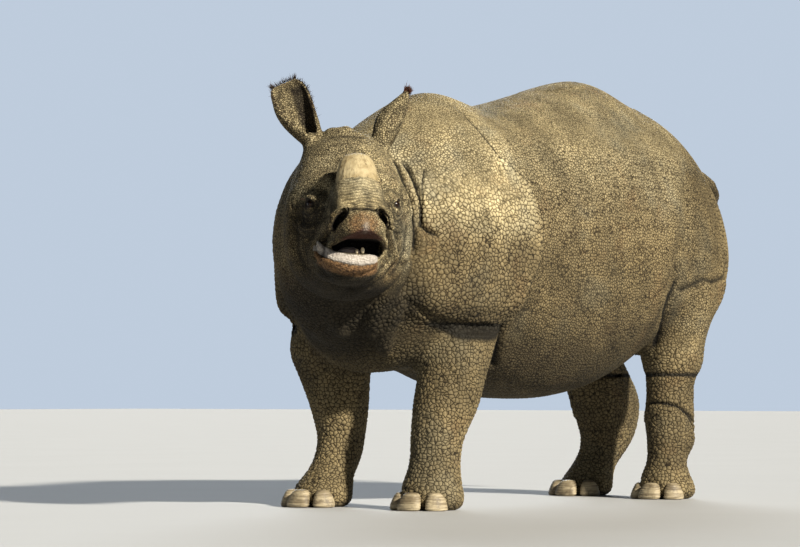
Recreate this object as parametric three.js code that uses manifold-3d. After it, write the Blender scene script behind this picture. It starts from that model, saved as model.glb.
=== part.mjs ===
// Greater one-horned rhinoceros (Rhinoceros unicornis), adult, standing square with its head turned.
// Units are millimetres. +Z is up, the animal faces -Y and its left side is +X.
// The flesh is lofted through named stations, joined into one body and parted by thin cuts into nodes.

import * as THREE from 'three';
import Module from 'manifold-3d';
import { mergeVertices } from 'three/addons/utils/BufferGeometryUtils.js';

const wasm = await Module();
wasm.setup();

// ---------------------------------------------------------------- driving dimensions

const CUT = 0.4; // width of the thin cuts between nodes of flesh
const GAP = 0.35; // clearance of an inset piece (eye, horn, nail) in the flesh round it

const HEAD_YAW = THREE.MathUtils.degToRad(46.5); // the head is turned to the animal's left
const HEAD_ROOT = new THREE.Vector3(150, -405, 0); // back of the skull, on plan

const EYE_RADIUS = 21;
const EYE_SPREAD = 150; // half the distance between the eyes
const EYE_FORWARD = 318;
const EYE_HEIGHT = 1132;

const HORN_FORWARD = 440;
const HORN_BASE_HEIGHT = 1150;
const HORN_TIP_HEIGHT = 1312;

const SOLE_BEVEL = 12;

// ---------------------------------------------------------------- stations

// Trunk, seen along Y: top and bottom of each section, half its width, the height of its widest
// place, and the squareness of its upper and lower halves (2 is an ellipse).
const TRUNK = [
  { y: -300, top: 1130, bottom: 720, half: 110, waist: 940, upper: 2.0, lower: 2.0 },
  { y: -270, top: 1230, bottom: 650, half: 225, waist: 945, upper: 2.0, lower: 2.1 },
  { y: -190, top: 1350, bottom: 565, half: 320, waist: 950, upper: 1.9, lower: 2.1 },
  { y: -100, top: 1440, bottom: 520, half: 375, waist: 955, upper: 1.9, lower: 2.1 },
  { y: 10, top: 1533, bottom: 528, half: 405, waist: 960, upper: 1.85, lower: 2.2 },
  { y: 110, top: 1592, bottom: 546, half: 420, waist: 965, upper: 1.8, lower: 2.3 },
  { y: 200, top: 1632, bottom: 538, half: 432, waist: 965, upper: 1.8, lower: 2.4 },
  { y: 285, top: 1652, bottom: 520, half: 440, waist: 965, upper: 1.75, lower: 2.5 },
  { y: 360, top: 1634, bottom: 500, half: 448, waist: 965, upper: 1.8, lower: 2.5 },
  { y: 450, top: 1601, bottom: 474, half: 456, waist: 965, upper: 1.9, lower: 2.6 },
  { y: 560, top: 1604, bottom: 446, half: 468, waist: 960, upper: 2.1, lower: 2.6 },
  { y: 720, top: 1635, bottom: 422, half: 484, waist: 960, upper: 2.15, lower: 2.6 },
  { y: 900, top: 1682, bottom: 420, half: 490, waist: 965, upper: 2.1, lower: 2.5 },
  { y: 1080, top: 1734, bottom: 442, half: 488, waist: 985, upper: 1.95, lower: 2.4 },
  { y: 1220, top: 1768, bottom: 482, half: 480, waist: 1010, upper: 1.85, lower: 2.35 },
  { y: 1320, top: 1768, bottom: 528, half: 470, waist: 1030, upper: 1.8, lower: 2.3 },
  { y: 1410, top: 1732, bottom: 575, half: 462, waist: 1040, upper: 1.85, lower: 2.3 },
  { y: 1500, top: 1697, bottom: 620, half: 455, waist: 1045, upper: 1.95, lower: 2.3 },
  { y: 1620, top: 1674, bottom: 670, half: 450, waist: 1040, upper: 2.0, lower: 2.3 },
  { y: 1760, top: 1630, bottom: 738, half: 430, waist: 1025, upper: 1.9, lower: 2.4 },
  { y: 1880, top: 1562, bottom: 795, half: 390, waist: 1012, upper: 1.8, lower: 2.4 },
  { y: 1990, top: 1490, bottom: 856, half: 318, waist: 1014, upper: 1.8, lower: 2.3 },
  { y: 2090, top: 1410, bottom: 922, half: 245, waist: 1022, upper: 1.8, lower: 2.2 },
  { y: 2160, top: 1320, bottom: 988, half: 172, waist: 1050, upper: 1.8, lower: 2.1 },
  { y: 2192, top: 1225, bottom: 1052, half: 90, waist: 1095, upper: 1.9, lower: 2.0 },
];

// Shoulder shield: a broad plate of hide over the forequarters, with a free lower rim.
const SHIELD = [
  { y: -262, top: 1205, bottom: 850, half: 255, waist: 1000, upper: 1.9, lower: 2.6 },
  { y: -235, top: 1290, bottom: 765, half: 345, waist: 985, upper: 1.9, lower: 4.0 },
  { y: -150, top: 1402, bottom: 712, half: 422, waist: 980, upper: 1.9, lower: 6.0 },
  { y: 0, top: 1527, bottom: 702, half: 450, waist: 980, upper: 1.85, lower: 7.0 },
  { y: 150, top: 1613, bottom: 702, half: 464, waist: 980, upper: 1.8, lower: 7.0 },
  { y: 285, top: 1652, bottom: 712, half: 472, waist: 980, upper: 1.75, lower: 6.0 },
  { y: 400, top: 1622, bottom: 748, half: 473, waist: 990, upper: 1.85, lower: 4.0 },
  { y: 470, top: 1604, bottom: 830, half: 470, waist: 1000, upper: 1.9, lower: 3.0 },
];

// Neck, from inside the shoulders to the back of the skull: centre on plan, and the same section values.
const NECK = [
  { x: 0, y: -60, top: 1460, bottom: 620, half: 320, waist: 1000, upper: 1.9, lower: 2.1 },
  { x: 10, y: -180, top: 1428, bottom: 592, half: 318, waist: 1010, upper: 1.9, lower: 2.0 },
  { x: 40, y: -280, top: 1414, bottom: 625, half: 285, waist: 1020, upper: 1.9, lower: 2.0 },
  { x: 95, y: -365, top: 1404, bottom: 700, half: 248, waist: 1035, upper: 1.9, lower: 2.1 },
  { x: 165, y: -420, top: 1396, bottom: 775, half: 228, waist: 1045, upper: 1.9, lower: 2.2 },
  { x: 230, y: -465, top: 1340, bottom: 840, half: 195, waist: 1060, upper: 2.0, lower: 2.1 },
];
const NECK_TURN = [0, 8, 22, 36, 45, 46.5]; // degrees that each neck section is turned to the left

// Head, seen along its own forward axis, which starts at the back of the skull.
const HEAD = [
  { s: -70, top: 1290, bottom: 920, half: 120, waist: 1090, upper: 2.0, lower: 2.0 },
  { s: -30, top: 1372, bottom: 850, half: 180, waist: 1075, upper: 2.0, lower: 2.2 },
  { s: 30, top: 1422, bottom: 805, half: 221, waist: 1055, upper: 2.1, lower: 2.3 },
  { s: 90, top: 1430, bottom: 787, half: 238, waist: 1042, upper: 2.0, lower: 2.3 },
  { s: 150, top: 1410, bottom: 783, half: 240, waist: 1034, upper: 1.9, lower: 2.3 },
  { s: 210, top: 1360, bottom: 790, half: 227, waist: 1034, upper: 1.95, lower: 2.3 },
  { s: 265, top: 1304, bottom: 806, half: 203, waist: 1046, upper: 2.05, lower: 2.3 },
  { s: 315, top: 1250, bottom: 840, half: 178, waist: 1072, upper: 2.2, lower: 2.3 },
  { s: 360, top: 1211, bottom: 890, half: 154, waist: 1080, upper: 2.4, lower: 2.3 },
  { s: 405, top: 1189, bottom: 935, half: 134, waist: 1074, upper: 2.5, lower: 2.4 },
  { s: 460, top: 1176, bottom: 966, half: 117, waist: 1064, upper: 2.6, lower: 2.5 },
  { s: 515, top: 1160, bottom: 978, half: 108, waist: 1055, upper: 2.5, lower: 2.6 },
  { s: 560, top: 1128, bottom: 981, half: 97, waist: 1048, upper: 2.4, lower: 2.5 },
  { s: 598, top: 1084, bottom: 984, half: 76, waist: 1036, upper: 2.2, lower: 2.3 },
  { s: 622, top: 1046, bottom: 997, half: 42, waist: 1024, upper: 2.0, lower: 2.0 },
];

// Lower jaw, swung a little to the animal's right as in chewing.
const JAW = [
  { s: 170, x: 0, top: 960, bottom: 795, half: 175, waist: 880, upper: 2.2, lower: 2.2 },
  { s: 260, x: -8, top: 955, bottom: 800, half: 160, waist: 880, upper: 2.2, lower: 2.2 },
  { s: 340, x: -22, top: 945, bottom: 822, half: 140, waist: 890, upper: 2.4, lower: 2.2 },
  { s: 410, x: -34, top: 938, bottom: 850, half: 122, waist: 905, upper: 2.6, lower: 2.2 },
  { s: 470, x: -42, top: 942, bottom: 872, half: 110, waist: 915, upper: 2.6, lower: 2.2 },
  { s: 515, x: -46, top: 946, bottom: 886, half: 88, waist: 922, upper: 2.4, lower: 2.2 },
  { s: 538, x: -48, top: 938, bottom: 902, half: 48, waist: 921, upper: 2.0, lower: 2.0 },
];

// Legs, seen from above: centre of each section and half its width (x) and length (y).
const LEFT_FORELEG = [
  { z: 790, x: 290, y: 165, a: 128, b: 160 },
  { z: 700, x: 286, y: 140, a: 128, b: 145 },
  { z: 600, x: 284, y: 110, a: 130, b: 142 },
  { z: 515, x: 282, y: 86, a: 128, b: 134 },
  { z: 398, x: 280, y: 51, a: 122, b: 134 },
  { z: 262, x: 278, y: -4, a: 100, b: 103 },
  { z: 195, x: 278, y: -12, a: 95, b: 98 },
  { z: 120, x: 278, y: -26, a: 106, b: 106 },
  { z: 60, x: 278, y: -44, a: 128, b: 130 },
  { z: SOLE_BEVEL, x: 278, y: -52, a: 139, b: 143 },
  { z: 0, x: 278, y: -52, a: 130, b: 134 },
];
const RIGHT_FORELEG = [
  { z: 790, x: -290, y: 110, a: 130, b: 165 },
  { z: 690, x: -286, y: 40, a: 150, b: 165 },
  { z: 600, x: -285, y: 28, a: 152, b: 166 },
  { z: 496, x: -284, y: 62, a: 132, b: 142 },
  { z: 378, x: -280, y: 86, a: 112, b: 114 },
  { z: 262, x: -278, y: 94, a: 92, b: 94 },
  { z: 185, x: -278, y: 70, a: 94, b: 96 },
  { z: 122, x: -278, y: 18, a: 96, b: 98 },
  { z: 66, x: -278, y: -30, a: 122, b: 124 },
  { z: SOLE_BEVEL, x: -278, y: -51, a: 137, b: 140 },
  { z: 0, x: -278, y: -51, a: 128, b: 131 },
];
const LEFT_HINDLEG = [
  { z: 620, x: 270, y: 1612, a: 108, b: 120 },
  { z: 530, x: 270, y: 1606, a: 102, b: 112 },
  { z: 450, x: 270, y: 1600, a: 96, b: 104 },
  { z: 370, x: 270, y: 1602, a: 100, b: 107 },
  { z: 300, x: 270, y: 1604, a: 97, b: 112 },
  { z: 222, x: 270, y: 1606, a: 90, b: 118 },
  { z: 160, x: 270, y: 1572, a: 78, b: 80 },
  { z: 92, x: 270, y: 1566, a: 106, b: 106 },
  { z: 50, x: 270, y: 1564, a: 128, b: 130 },
  { z: SOLE_BEVEL, x: 270, y: 1562, a: 136, b: 140 },
  { z: 0, x: 270, y: 1562, a: 127, b: 131 },
];
const RIGHT_HINDLEG = [
  { z: 600, x: -255, y: 1755, a: 124, b: 160 },
  { z: 500, x: -238, y: 1798, a: 124, b: 188 },
  { z: 420, x: -226, y: 1826, a: 124, b: 198 },
  { z: 335, x: -220, y: 1842, a: 114, b: 172 },
  { z: 255, x: -222, y: 1844, a: 100, b: 142 },
  { z: 190, x: -230, y: 1818, a: 92, b: 115 },
  { z: 128, x: -240, y: 1762, a: 89, b: 101 },
  { z: 68, x: -248, y: 1718, a: 112, b: 118 },
  { z: SOLE_BEVEL, x: -250, y: 1688, a: 135, b: 141 },
  { z: 0, x: -250, y: 1688, a: 126, b: 132 },
];

// Thighs under their plate of hide, which ends in a free rim above the lower leg.
const LEFT_THIGH = [
  { z: 1240, x: 228, y: 1650, a: 160, b: 240 },
  { z: 1100, x: 256, y: 1655, a: 174, b: 305 },
  { z: 960, x: 268, y: 1648, a: 176, b: 312 },
  { z: 860, x: 274, y: 1630, a: 166, b: 268 },
  { z: 770, x: 274, y: 1612, a: 147, b: 204 },
  { z: 660, x: 272, y: 1614, a: 130, b: 152 },
  { z: 548, x: 270, y: 1622, a: 122, b: 134 },
  { z: 530, x: 270, y: 1622, a: 112, b: 124 },
];
const RIGHT_THIGH = [
  { z: 1240, x: -228, y: 1655, a: 160, b: 240 },
  { z: 1100, x: -258, y: 1665, a: 174, b: 305 },
  { z: 960, x: -272, y: 1668, a: 176, b: 315 },
  { z: 860, x: -280, y: 1670, a: 166, b: 278 },
  { z: 770, x: -278, y: 1685, a: 150, b: 218 },
  { z: 660, x: -270, y: 1722, a: 141, b: 180 },
  { z: 548, x: -264, y: 1752, a: 138, b: 166 },
  { z: 530, x: -264, y: 1752, a: 128, b: 156 },
];

// Tail: centre line and radius of each section.
const TAIL = [
  { x: 0, y: 2010, z: 1400, r: 60 },
  { x: 0, y: 2110, z: 1396, r: 56 },
  { x: 2, y: 2210, z: 1372, r: 43 },
  { x: 4, y: 2280, z: 1338, r: 34 },
  { x: 6, y: 2312, z: 1292, r: 29 },
  { x: 6, y: 2306, z: 1220, r: 26 },
  { x: 4, y: 2286, z: 1120, r: 23 },
  { x: -2, y: 2262, z: 980, r: 20 },
  { x: -6, y: 2248, z: 860, r: 18 },
  { x: -8, y: 2244, z: 790, r: 17 },
];

const TOES = [-52, 0, 52]; // degrees of each toe round the foot, from straight ahead
const TOE_NAIL = { width: 108, height: 68, depth: 26 };

// ---------------------------------------------------------------- sections and lofts

const power = (value, squareness) => Math.sign(value) * Math.abs(value) ** (2 / squareness);

// Upright ring round a centre: `across` is its horizontal axis.
function uprightRing(row, centre, across, count) {
  const ring = [];
  for (let i = 0; i < count; i += 1) {
    const angle = (i / count) * 2 * Math.PI;
    const squareness = Math.sin(angle) >= 0 ? row.upper : row.lower;
    const reach = Math.sin(angle) >= 0 ? row.top - row.waist : row.waist - row.bottom;
    const side = row.half * power(Math.cos(angle), squareness);
    ring.push(new THREE.Vector3(
      centre.x + across.x * side,
      centre.y + across.y * side,
      row.waist + reach * power(Math.sin(angle), squareness),
    ));
  }
  return ring;
}

// Level ring of a leg.
function levelRing(row, count) {
  const ring = [];
  for (let i = 0; i < count; i += 1) {
    const angle = (i / count) * 2 * Math.PI;
    ring.push(new THREE.Vector3(
      row.x + row.a * power(Math.cos(angle), 2.2),
      row.y + row.b * power(Math.sin(angle), 2.2),
      row.z,
    ));
  }
  return ring;
}

// Ring square to a centre line at one of its points.
function tubeRing(centre, direction, radiusAcross, radiusAlong, count) {
  const across = new THREE.Vector3(1, 0, 0);
  const up = new THREE.Vector3().crossVectors(direction, across).normalize();
  const side = new THREE.Vector3().crossVectors(up, direction).normalize();
  const ring = [];
  for (let i = 0; i < count; i += 1) {
    const angle = (i / count) * 2 * Math.PI;
    ring.push(centre.clone()
      .addScaledVector(side, radiusAcross * Math.cos(angle))
      .addScaledVector(up, radiusAlong * Math.sin(angle)));
  }
  return ring;
}

// Triangles that close a convex ring, as a fan round its middle.
function fanCap(points, start, count) {
  const middle = points.slice(start, start + count)
    .reduce((sum, p) => sum.add(p), new THREE.Vector3()).divideScalar(count);
  const hub = points.push(middle) - 1;
  return Array.from({ length: count }, (_, j) => [hub, start + j, start + ((j + 1) % count)]);
}

// Triangles that close a C-shaped ring, whose second half runs back along its first.
function stripCap(points, start, count) {
  return Array.from({ length: count / 2 - 1 }, (_, j) => {
    const [a, b] = [start + j, start + j + 1];
    const [c, d] = [start + count - 2 - j, start + count - 1 - j];
    return [[a, b, c], [a, c, d]];
  }).flat();
}

// Skin through the rings, closed at both ends.
function loft(rings, cap = fanCap) {
  const count = rings[0].length;
  const points = rings.flat();
  const triangles = [];
  for (let i = 0; i < rings.length - 1; i += 1) {
    for (let j = 0; j < count; j += 1) {
      const [a, b] = [i * count + j, i * count + ((j + 1) % count)];
      triangles.push([a, b, a + count], [b, b + count, a + count]);
    }
  }
  const lastRing = (rings.length - 1) * count;
  triangles.push(...cap(points, 0, count).map(([a, b, c]) => [a, c, b]));
  triangles.push(...cap(points, lastRing, count));
  return new THREE.BufferGeometry().setFromPoints(points).setIndex(triangles.flat());
}

// ---------------------------------------------------------------- solids

// Closed geometry to a solid, turned right side out where its rings ran the other way.
function solid(geometry) {
  const bare = new THREE.BufferGeometry();
  bare.setAttribute('position', geometry.attributes.position);
  bare.setIndex(geometry.index);
  const merged = mergeVertices(bare, 0.001);
  const vertProperties = new Float32Array(merged.attributes.position.array);
  const triVerts = new Uint32Array(merged.index.array);
  if (signedVolume(vertProperties, triVerts) < 0) {
    for (let i = 0; i < triVerts.length; i += 3) {
      [triVerts[i + 1], triVerts[i + 2]] = [triVerts[i + 2], triVerts[i + 1]];
    }
  }
  return new wasm.Manifold(new wasm.Mesh({ numProp: 3, vertProperties, triVerts }));
}

function signedVolume(points, triangles) {
  const [a, b, c] = [new THREE.Vector3(), new THREE.Vector3(), new THREE.Vector3()];
  let sum = 0;
  for (let i = 0; i < triangles.length; i += 3) {
    a.fromArray(points, triangles[i] * 3);
    b.fromArray(points, triangles[i + 1] * 3);
    c.fromArray(points, triangles[i + 2] * 3);
    sum += a.dot(b.cross(c));
  }
  return sum / 6;
}

function toGeometry(body) {
  const mesh = body.getMesh();
  const geometry = new THREE.BufferGeometry();
  geometry.setAttribute('position', new THREE.BufferAttribute(new Float32Array(mesh.vertProperties), 3));
  geometry.setIndex(new THREE.BufferAttribute(new Uint32Array(mesh.triVerts), 1));
  geometry.computeVertexNormals();
  return geometry;
}

const joined = (bodies) => bodies.reduce((whole, body) => whole.add(body));

// Thin slab to cut with: its wide faces are square to `normal`.
function slab(centre, normal, width, height) {
  const box = new THREE.BoxGeometry(width, height, CUT);
  const turn = new THREE.Quaternion().setFromUnitVectors(
    new THREE.Vector3(0, 0, 1), normal.clone().normalize(),
  );
  box.applyQuaternion(turn);
  box.translate(centre.x, centre.y, centre.z);
  return solid(box);
}

// Point of the head's own frame (sideways to its left, forward, height) in the animal's frame.
function headPoint(side, forward, height) {
  return new THREE.Vector3(side, -forward, height)
    .applyAxisAngle(new THREE.Vector3(0, 0, 1), HEAD_YAW)
    .add(HEAD_ROOT);
}

const headDirection = (side, forward, height) => headPoint(side, forward, height).sub(HEAD_ROOT);

// ---------------------------------------------------------------- flesh

const ALONG_X = new THREE.Vector3(1, 0, 0);

function trunk() {
  return solid(loft(TRUNK.map((row) => uprightRing(row, { x: 0, y: row.y }, ALONG_X, 26))));
}

function shoulderShield() {
  return solid(loft(SHIELD.map((row) => uprightRing(row, { x: 0, y: row.y }, ALONG_X, 26))));
}

function neck() {
  return solid(loft(NECK.map((row, i) => {
    const turn = THREE.MathUtils.degToRad(NECK_TURN[i]);
    return uprightRing(row, row, new THREE.Vector3(Math.cos(turn), Math.sin(turn), 0), 20);
  })));
}

function headLoft(stations, count) {
  const across = headDirection(1, 0, 0);
  return solid(loft(stations.map(
    (row) => uprightRing(row, headPoint(row.x ?? 0, row.s, 0), across, count),
  )));
}

function leg(stations) {
  return solid(loft(stations.map((row) => levelRing(row, 14))));
}

function thigh(stations) {
  return solid(loft(stations.map((row) => levelRing(row, 14))));
}

function tail() {
  const rings = TAIL.map((row, i) => {
    const before = TAIL[Math.max(i - 1, 0)];
    const after = TAIL[Math.min(i + 1, TAIL.length - 1)];
    const direction = new THREE.Vector3(0, after.y - before.y, after.z - before.z).normalize();
    return tubeRing(new THREE.Vector3(row.x, row.y, row.z), direction, row.r, row.r * 0.8, 8);
  });
  return solid(loft(rings));
}

// Ear: a cup of C-shaped sections round its own axis, wide open above and closed to a tube at its root.
const EAR_STATIONS = {
  left: [
    { t: -0.16, width: 28, depth: 28, slit: 8, wall: 15, lean: 0 },
    { t: 0.0, width: 32, depth: 34, slit: 14, wall: 14, lean: 0 },
    { t: 0.18, width: 41, depth: 44, slit: 34, wall: 12, lean: 0 },
    { t: 0.4, width: 47, depth: 50, slit: 56, wall: 10, lean: -2 },
    { t: 0.6, width: 44, depth: 46, slit: 66, wall: 9, lean: 0 },
    { t: 0.78, width: 31, depth: 34, slit: 72, wall: 8, lean: 6 },
    { t: 0.92, width: 16, depth: 18, slit: 76, wall: 7, lean: 10 },
    { t: 1.0, width: 8, depth: 8, slit: 78, wall: 4, lean: 12 },
  ],
  right: [
    { t: -0.16, width: 30, depth: 26, slit: 8, wall: 15, lean: 0 },
    { t: 0.0, width: 38, depth: 32, slit: 14, wall: 14, lean: 0 },
    { t: 0.18, width: 54, depth: 44, slit: 34, wall: 12, lean: 6 },
    { t: 0.4, width: 70, depth: 50, slit: 56, wall: 10, lean: 14 },
    { t: 0.62, width: 79, depth: 44, slit: 66, wall: 9, lean: 14 },
    { t: 0.82, width: 76, depth: 34, slit: 72, wall: 8, lean: 10 },
    { t: 0.95, width: 58, depth: 20, slit: 76, wall: 7, lean: 8 },
    { t: 1.0, width: 36, depth: 10, slit: 78, wall: 5, lean: 6 },
  ],
};

function ear({ root, axis, opening, length, stations, leanTo }) {
  const up = axis.clone().normalize();
  const front = opening.clone().addScaledVector(up, -opening.dot(up)).normalize();
  const side = new THREE.Vector3().crossVectors(front, up);
  const steps = 8;
  const rings = stations.map((row) => {
    const centre = root.clone().addScaledVector(up, row.t * length);
    centre.addScaledVector(leanTo, row.lean);
    const slit = THREE.MathUtils.degToRad(row.slit);
    const arc = (inset) => Array.from({ length: steps }, (_, i) => {
      const angle = slit + (i / (steps - 1)) * 2 * (Math.PI - slit);
      return centre.clone()
        .addScaledVector(front, (row.depth - inset) * Math.cos(angle))
        .addScaledVector(side, (row.width - inset) * Math.sin(angle));
    });
    return [...arc(0), ...arc(row.wall).reverse()];
  });
  return solid(loft(rings, stripCap));
}

// ---------------------------------------------------------------- inset pieces

// Horn: a short blunt stump on an oval base, leaning a little back. `grow` widens it for its socket.
function horn(grow) {
  const profile = [
    { t: 0, across: 80, along: 90 },
    { t: 0.25, across: 79, along: 86 },
    { t: 0.5, across: 74, along: 74 },
    { t: 0.72, across: 66, along: 60 },
    { t: 0.88, across: 53, along: 45 },
    { t: 0.97, across: 32, along: 27 },
    { t: 1, across: 12, along: 11 },
  ];
  const lean = -22;
  const rings = profile.map((row) => {
    const ring = [];
    for (let i = 0; i < 18; i += 1) {
      const angle = (i / 18) * 2 * Math.PI;
      const height = THREE.MathUtils.lerp(HORN_BASE_HEIGHT - grow, HORN_TIP_HEIGHT + grow, row.t);
      ring.push(headPoint(
        (row.across + grow) * Math.cos(angle),
        HORN_FORWARD + lean * row.t ** 2 + (row.along + grow) * Math.sin(angle),
        height,
      ));
    }
    return ring;
  });
  return solid(loft(rings));
}

function eye(side, grow) {
  const ball = new THREE.SphereGeometry(EYE_RADIUS + grow, 10, 8);
  const centre = headPoint(side * EYE_SPREAD, EYE_FORWARD, EYE_HEIGHT);
  ball.translate(centre.x, centre.y, centre.z);
  return solid(ball);
}

// Toenail: a broad rounded wedge that leans on the front of the foot.
function toenail(footStations, degrees, grow) {
  const sole = footStations[footStations.length - 2];
  const angle = THREE.MathUtils.degToRad(degrees);
  const out = new THREE.Vector3(Math.sin(angle), -Math.cos(angle), 0);
  const across = new THREE.Vector3(Math.cos(angle), Math.sin(angle), 0);
  const middle = degrees === 0 ? 1 : 0.82;
  const profile = [
    { z: 2, size: 1, reach: 1.0 },
    { z: 0.3 * TOE_NAIL.height, size: 0.98, reach: 0.9 },
    { z: 0.7 * TOE_NAIL.height, size: 0.82, reach: 0.5 },
    { z: TOE_NAIL.height, size: 0.5, reach: 0.05 },
  ];
  const rings = profile.map((row, k) => {
    const ring = [];
    const half = (TOE_NAIL.width / 2) * middle * row.size + grow;
    const front = sole.b + 7 + (row.reach - 1) * TOE_NAIL.depth + grow;
    const lift = k === 0 ? -grow : k === profile.length - 1 ? grow : 0;
    for (let i = 0; i < 8; i += 1) {
      const turn = (i / 8) * 2 * Math.PI;
      const inward = TOE_NAIL.depth + grow;
      ring.push(new THREE.Vector3(sole.x, sole.y, row.z + lift)
        .addScaledVector(out, front - inward + inward * power(Math.sin(turn), 2.4))
        .addScaledVector(across, half * power(Math.cos(turn), 2.4)));
    }
    return ring;
  });
  return solid(loft(rings));
}

// Small rounded lump in the head's frame: used for the tongue, a tooth, and to hollow out nostrils.
function lump(side, forward, height, radii, grow = 0) {
  const ball = new THREE.SphereGeometry(1, 8, 6);
  ball.scale(radii.x + grow, radii.y + grow, radii.z + grow);
  ball.rotateZ(HEAD_YAW);
  const centre = headPoint(side, forward, height);
  ball.translate(centre.x, centre.y, centre.z);
  return solid(ball);
}

const TONGUE = { side: -28, forward: 418, height: 950, radii: new THREE.Vector3(46, 76, 24) };
const TEETH = [
  { side: 14, forward: 490, height: 956, radii: new THREE.Vector3(8, 7, 13) },
  { side: -8, forward: 497, height: 951, radii: new THREE.Vector3(6, 6, 10) },
];

// ---------------------------------------------------------------- materials

const material = (color, roughness) => new THREE.MeshStandardMaterial({ color, roughness, metalness: 0 });
const HIDE = material(0x8a8262, 0.85);
const HORN = material(0xc9b98a, 0.6);
const NAIL = material(0xb3a383, 0.6);
const EYE = material(0x1a1410, 0.15);
const TONGUE_SKIN = material(0x9a8f88, 0.5);
const TOOTH = material(0xd8cba6, 0.4);

// ---------------------------------------------------------------- assembly

const FEET = {
  front_left: LEFT_FORELEG,
  front_right: RIGHT_FORELEG,
  hind_left: LEFT_HINDLEG,
  hind_right: RIGHT_HINDLEG,
};

const EARS = {
  left: {
    root: headPoint(128, 52, 1372),
    axis: headDirection(84, -10, 188),
    opening: headDirection(0.55, -0.8, 0),
    length: 226,
    stations: EAR_STATIONS.left,
    leanTo: headDirection(1, 0, 0),
  },
  right: {
    root: headPoint(-118, 52, 1380),
    axis: headDirection(-96, 10, 208),
    opening: headDirection(0.4, 0.9, 0),
    length: 240,
    stations: EAR_STATIONS.right,
    leanTo: headDirection(-1, 0, 0),
  },
};

function wholeFlesh() {
  let flesh = joined([
    trunk(), shoulderShield(), neck(),
    headLoft(HEAD, 24), headLoft(JAW, 14),
    thigh(LEFT_THIGH), thigh(RIGHT_THIGH),
    ...Object.values(FEET).map(leg),
    tail(),
    ...Object.values(EARS).map(ear),
  ]);
  for (const side of [-1, 1]) {
    flesh = flesh.subtract(eye(side, GAP));
    flesh = flesh.subtract(lump(side * 74, 590, 1066, new THREE.Vector3(15, 30, 13)));
  }
  flesh = flesh.subtract(horn(GAP));
  flesh = flesh.subtract(lump(TONGUE.side, TONGUE.forward, TONGUE.height, TONGUE.radii, GAP));
  for (const tooth of TEETH) {
    flesh = flesh.subtract(lump(tooth.side, tooth.forward, tooth.height, tooth.radii, GAP));
  }
  for (const foot of Object.values(FEET)) {
    for (const degrees of TOES) flesh = flesh.subtract(toenail(foot, degrees, GAP));
  }
  return flesh;
}

// Thin cuts, each across one joint of the body.
function cuts() {
  const vector = (x, y, z) => new THREE.Vector3(x, y, z);
  const list = [
    slab(vector(0, -262, 1000), vector(-0.12, 1, 0), 1400, 1500), // neck from shoulders
    slab(vector(0, 474, 1000), vector(0, 1, 0.0), 1400, 1500), // shoulders from barrel
    slab(vector(0, 1370, 1100), vector(0, 1, -0.1), 1400, 1500), // barrel from rump
    slab(vector(170, -394, 1080), vector(0.505, -0.863, 0.04), 1000, 1000), // head from neck
    slab(vector(0, 2192, 1360), vector(0, 1, -0.45), 150, 150), // tail from rump
  ];
  for (const side of [-1, 1]) {
    list.push(slab(vector(side * 290, 65, 592), vector(-side * 0.5, 0, 1), 440, 480));
    list.push(slab(vector(side * 265, side > 0 ? 1600 : 1830, 516), vector(0, 0, 1), 400, 470));
  }
  for (const one of Object.values(EARS)) {
    const collar = one.root.clone().addScaledVector(one.axis.clone().normalize(), 22);
    list.push(slab(collar, one.axis, 130, 130));
  }
  return joined(list);
}

// Where each node of flesh lies, to name the pieces that the cuts leave.
const NAMES = {
  head: headPoint(0, 250, 1080),
  neck: new THREE.Vector3(60, -290, 1050),
  shoulders: new THREE.Vector3(0, 150, 1060),
  barrel: new THREE.Vector3(0, 900, 1040),
  rump: new THREE.Vector3(0, 1750, 1100),
  tail: new THREE.Vector3(0, 2280, 1100),
  leg_front_left: new THREE.Vector3(278, 20, 250),
  leg_front_right: new THREE.Vector3(-278, 60, 250),
  leg_hind_left: new THREE.Vector3(270, 1590, 240),
  leg_hind_right: new THREE.Vector3(-252, 1820, 240),
  ear_left: EARS.left.root.clone().add(EARS.left.axis.clone().multiplyScalar(0.5)),
  ear_right: EARS.right.root.clone().add(EARS.right.axis.clone().multiplyScalar(0.5)),
};

function middleOf(body) {
  const box = body.boundingBox();
  return new THREE.Vector3(...box.min).add(new THREE.Vector3(...box.max)).multiplyScalar(0.5);
}

function nearestName(body) {
  const middle = middleOf(body);
  const distance = (name) => NAMES[name].distanceTo(middle);
  return Object.keys(NAMES).reduce((best, name) => (distance(name) < distance(best) ? name : best));
}

const animal = new THREE.Group();

function addPiece(name, body, finish) {
  const mesh = new THREE.Mesh(toGeometry(body), finish);
  mesh.name = name;
  animal.add(mesh);
}

const CRUMB = 2000; // mm3, below which a leftover of a cut is dropped
for (const piece of wholeFlesh().subtract(cuts()).decompose()) {
  if (piece.volume() > CRUMB) addPiece(nearestName(piece), piece, HIDE);
}
addPiece('horn', horn(0), HORN);
addPiece('eye_left', eye(1, 0), EYE);
addPiece('eye_right', eye(-1, 0), EYE);
addPiece('tongue', lump(TONGUE.side, TONGUE.forward, TONGUE.height, TONGUE.radii), TONGUE_SKIN);
TEETH.forEach((tooth, i) => {
  addPiece(`tooth_${i + 1}`, lump(tooth.side, tooth.forward, tooth.height, tooth.radii), TOOTH);
});
for (const [foot, stations] of Object.entries(FEET)) {
  TOES.forEach((degrees, i) => addPiece(`nail_${foot}_${i + 1}`, toenail(stations, degrees, 0), NAIL));
}

// The origin is the middle of the animal's box, on the floor.
const box = new THREE.Box3().setFromObject(animal);
animal.position.set(-(box.min.x + box.max.x) / 2, -(box.min.y + box.max.y) / 2, -box.min.z);
animal.updateMatrixWorld(true);

export default animal;
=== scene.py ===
"""Greater one-horned rhinoceros, life size, in metres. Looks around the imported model."""
import math

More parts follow.
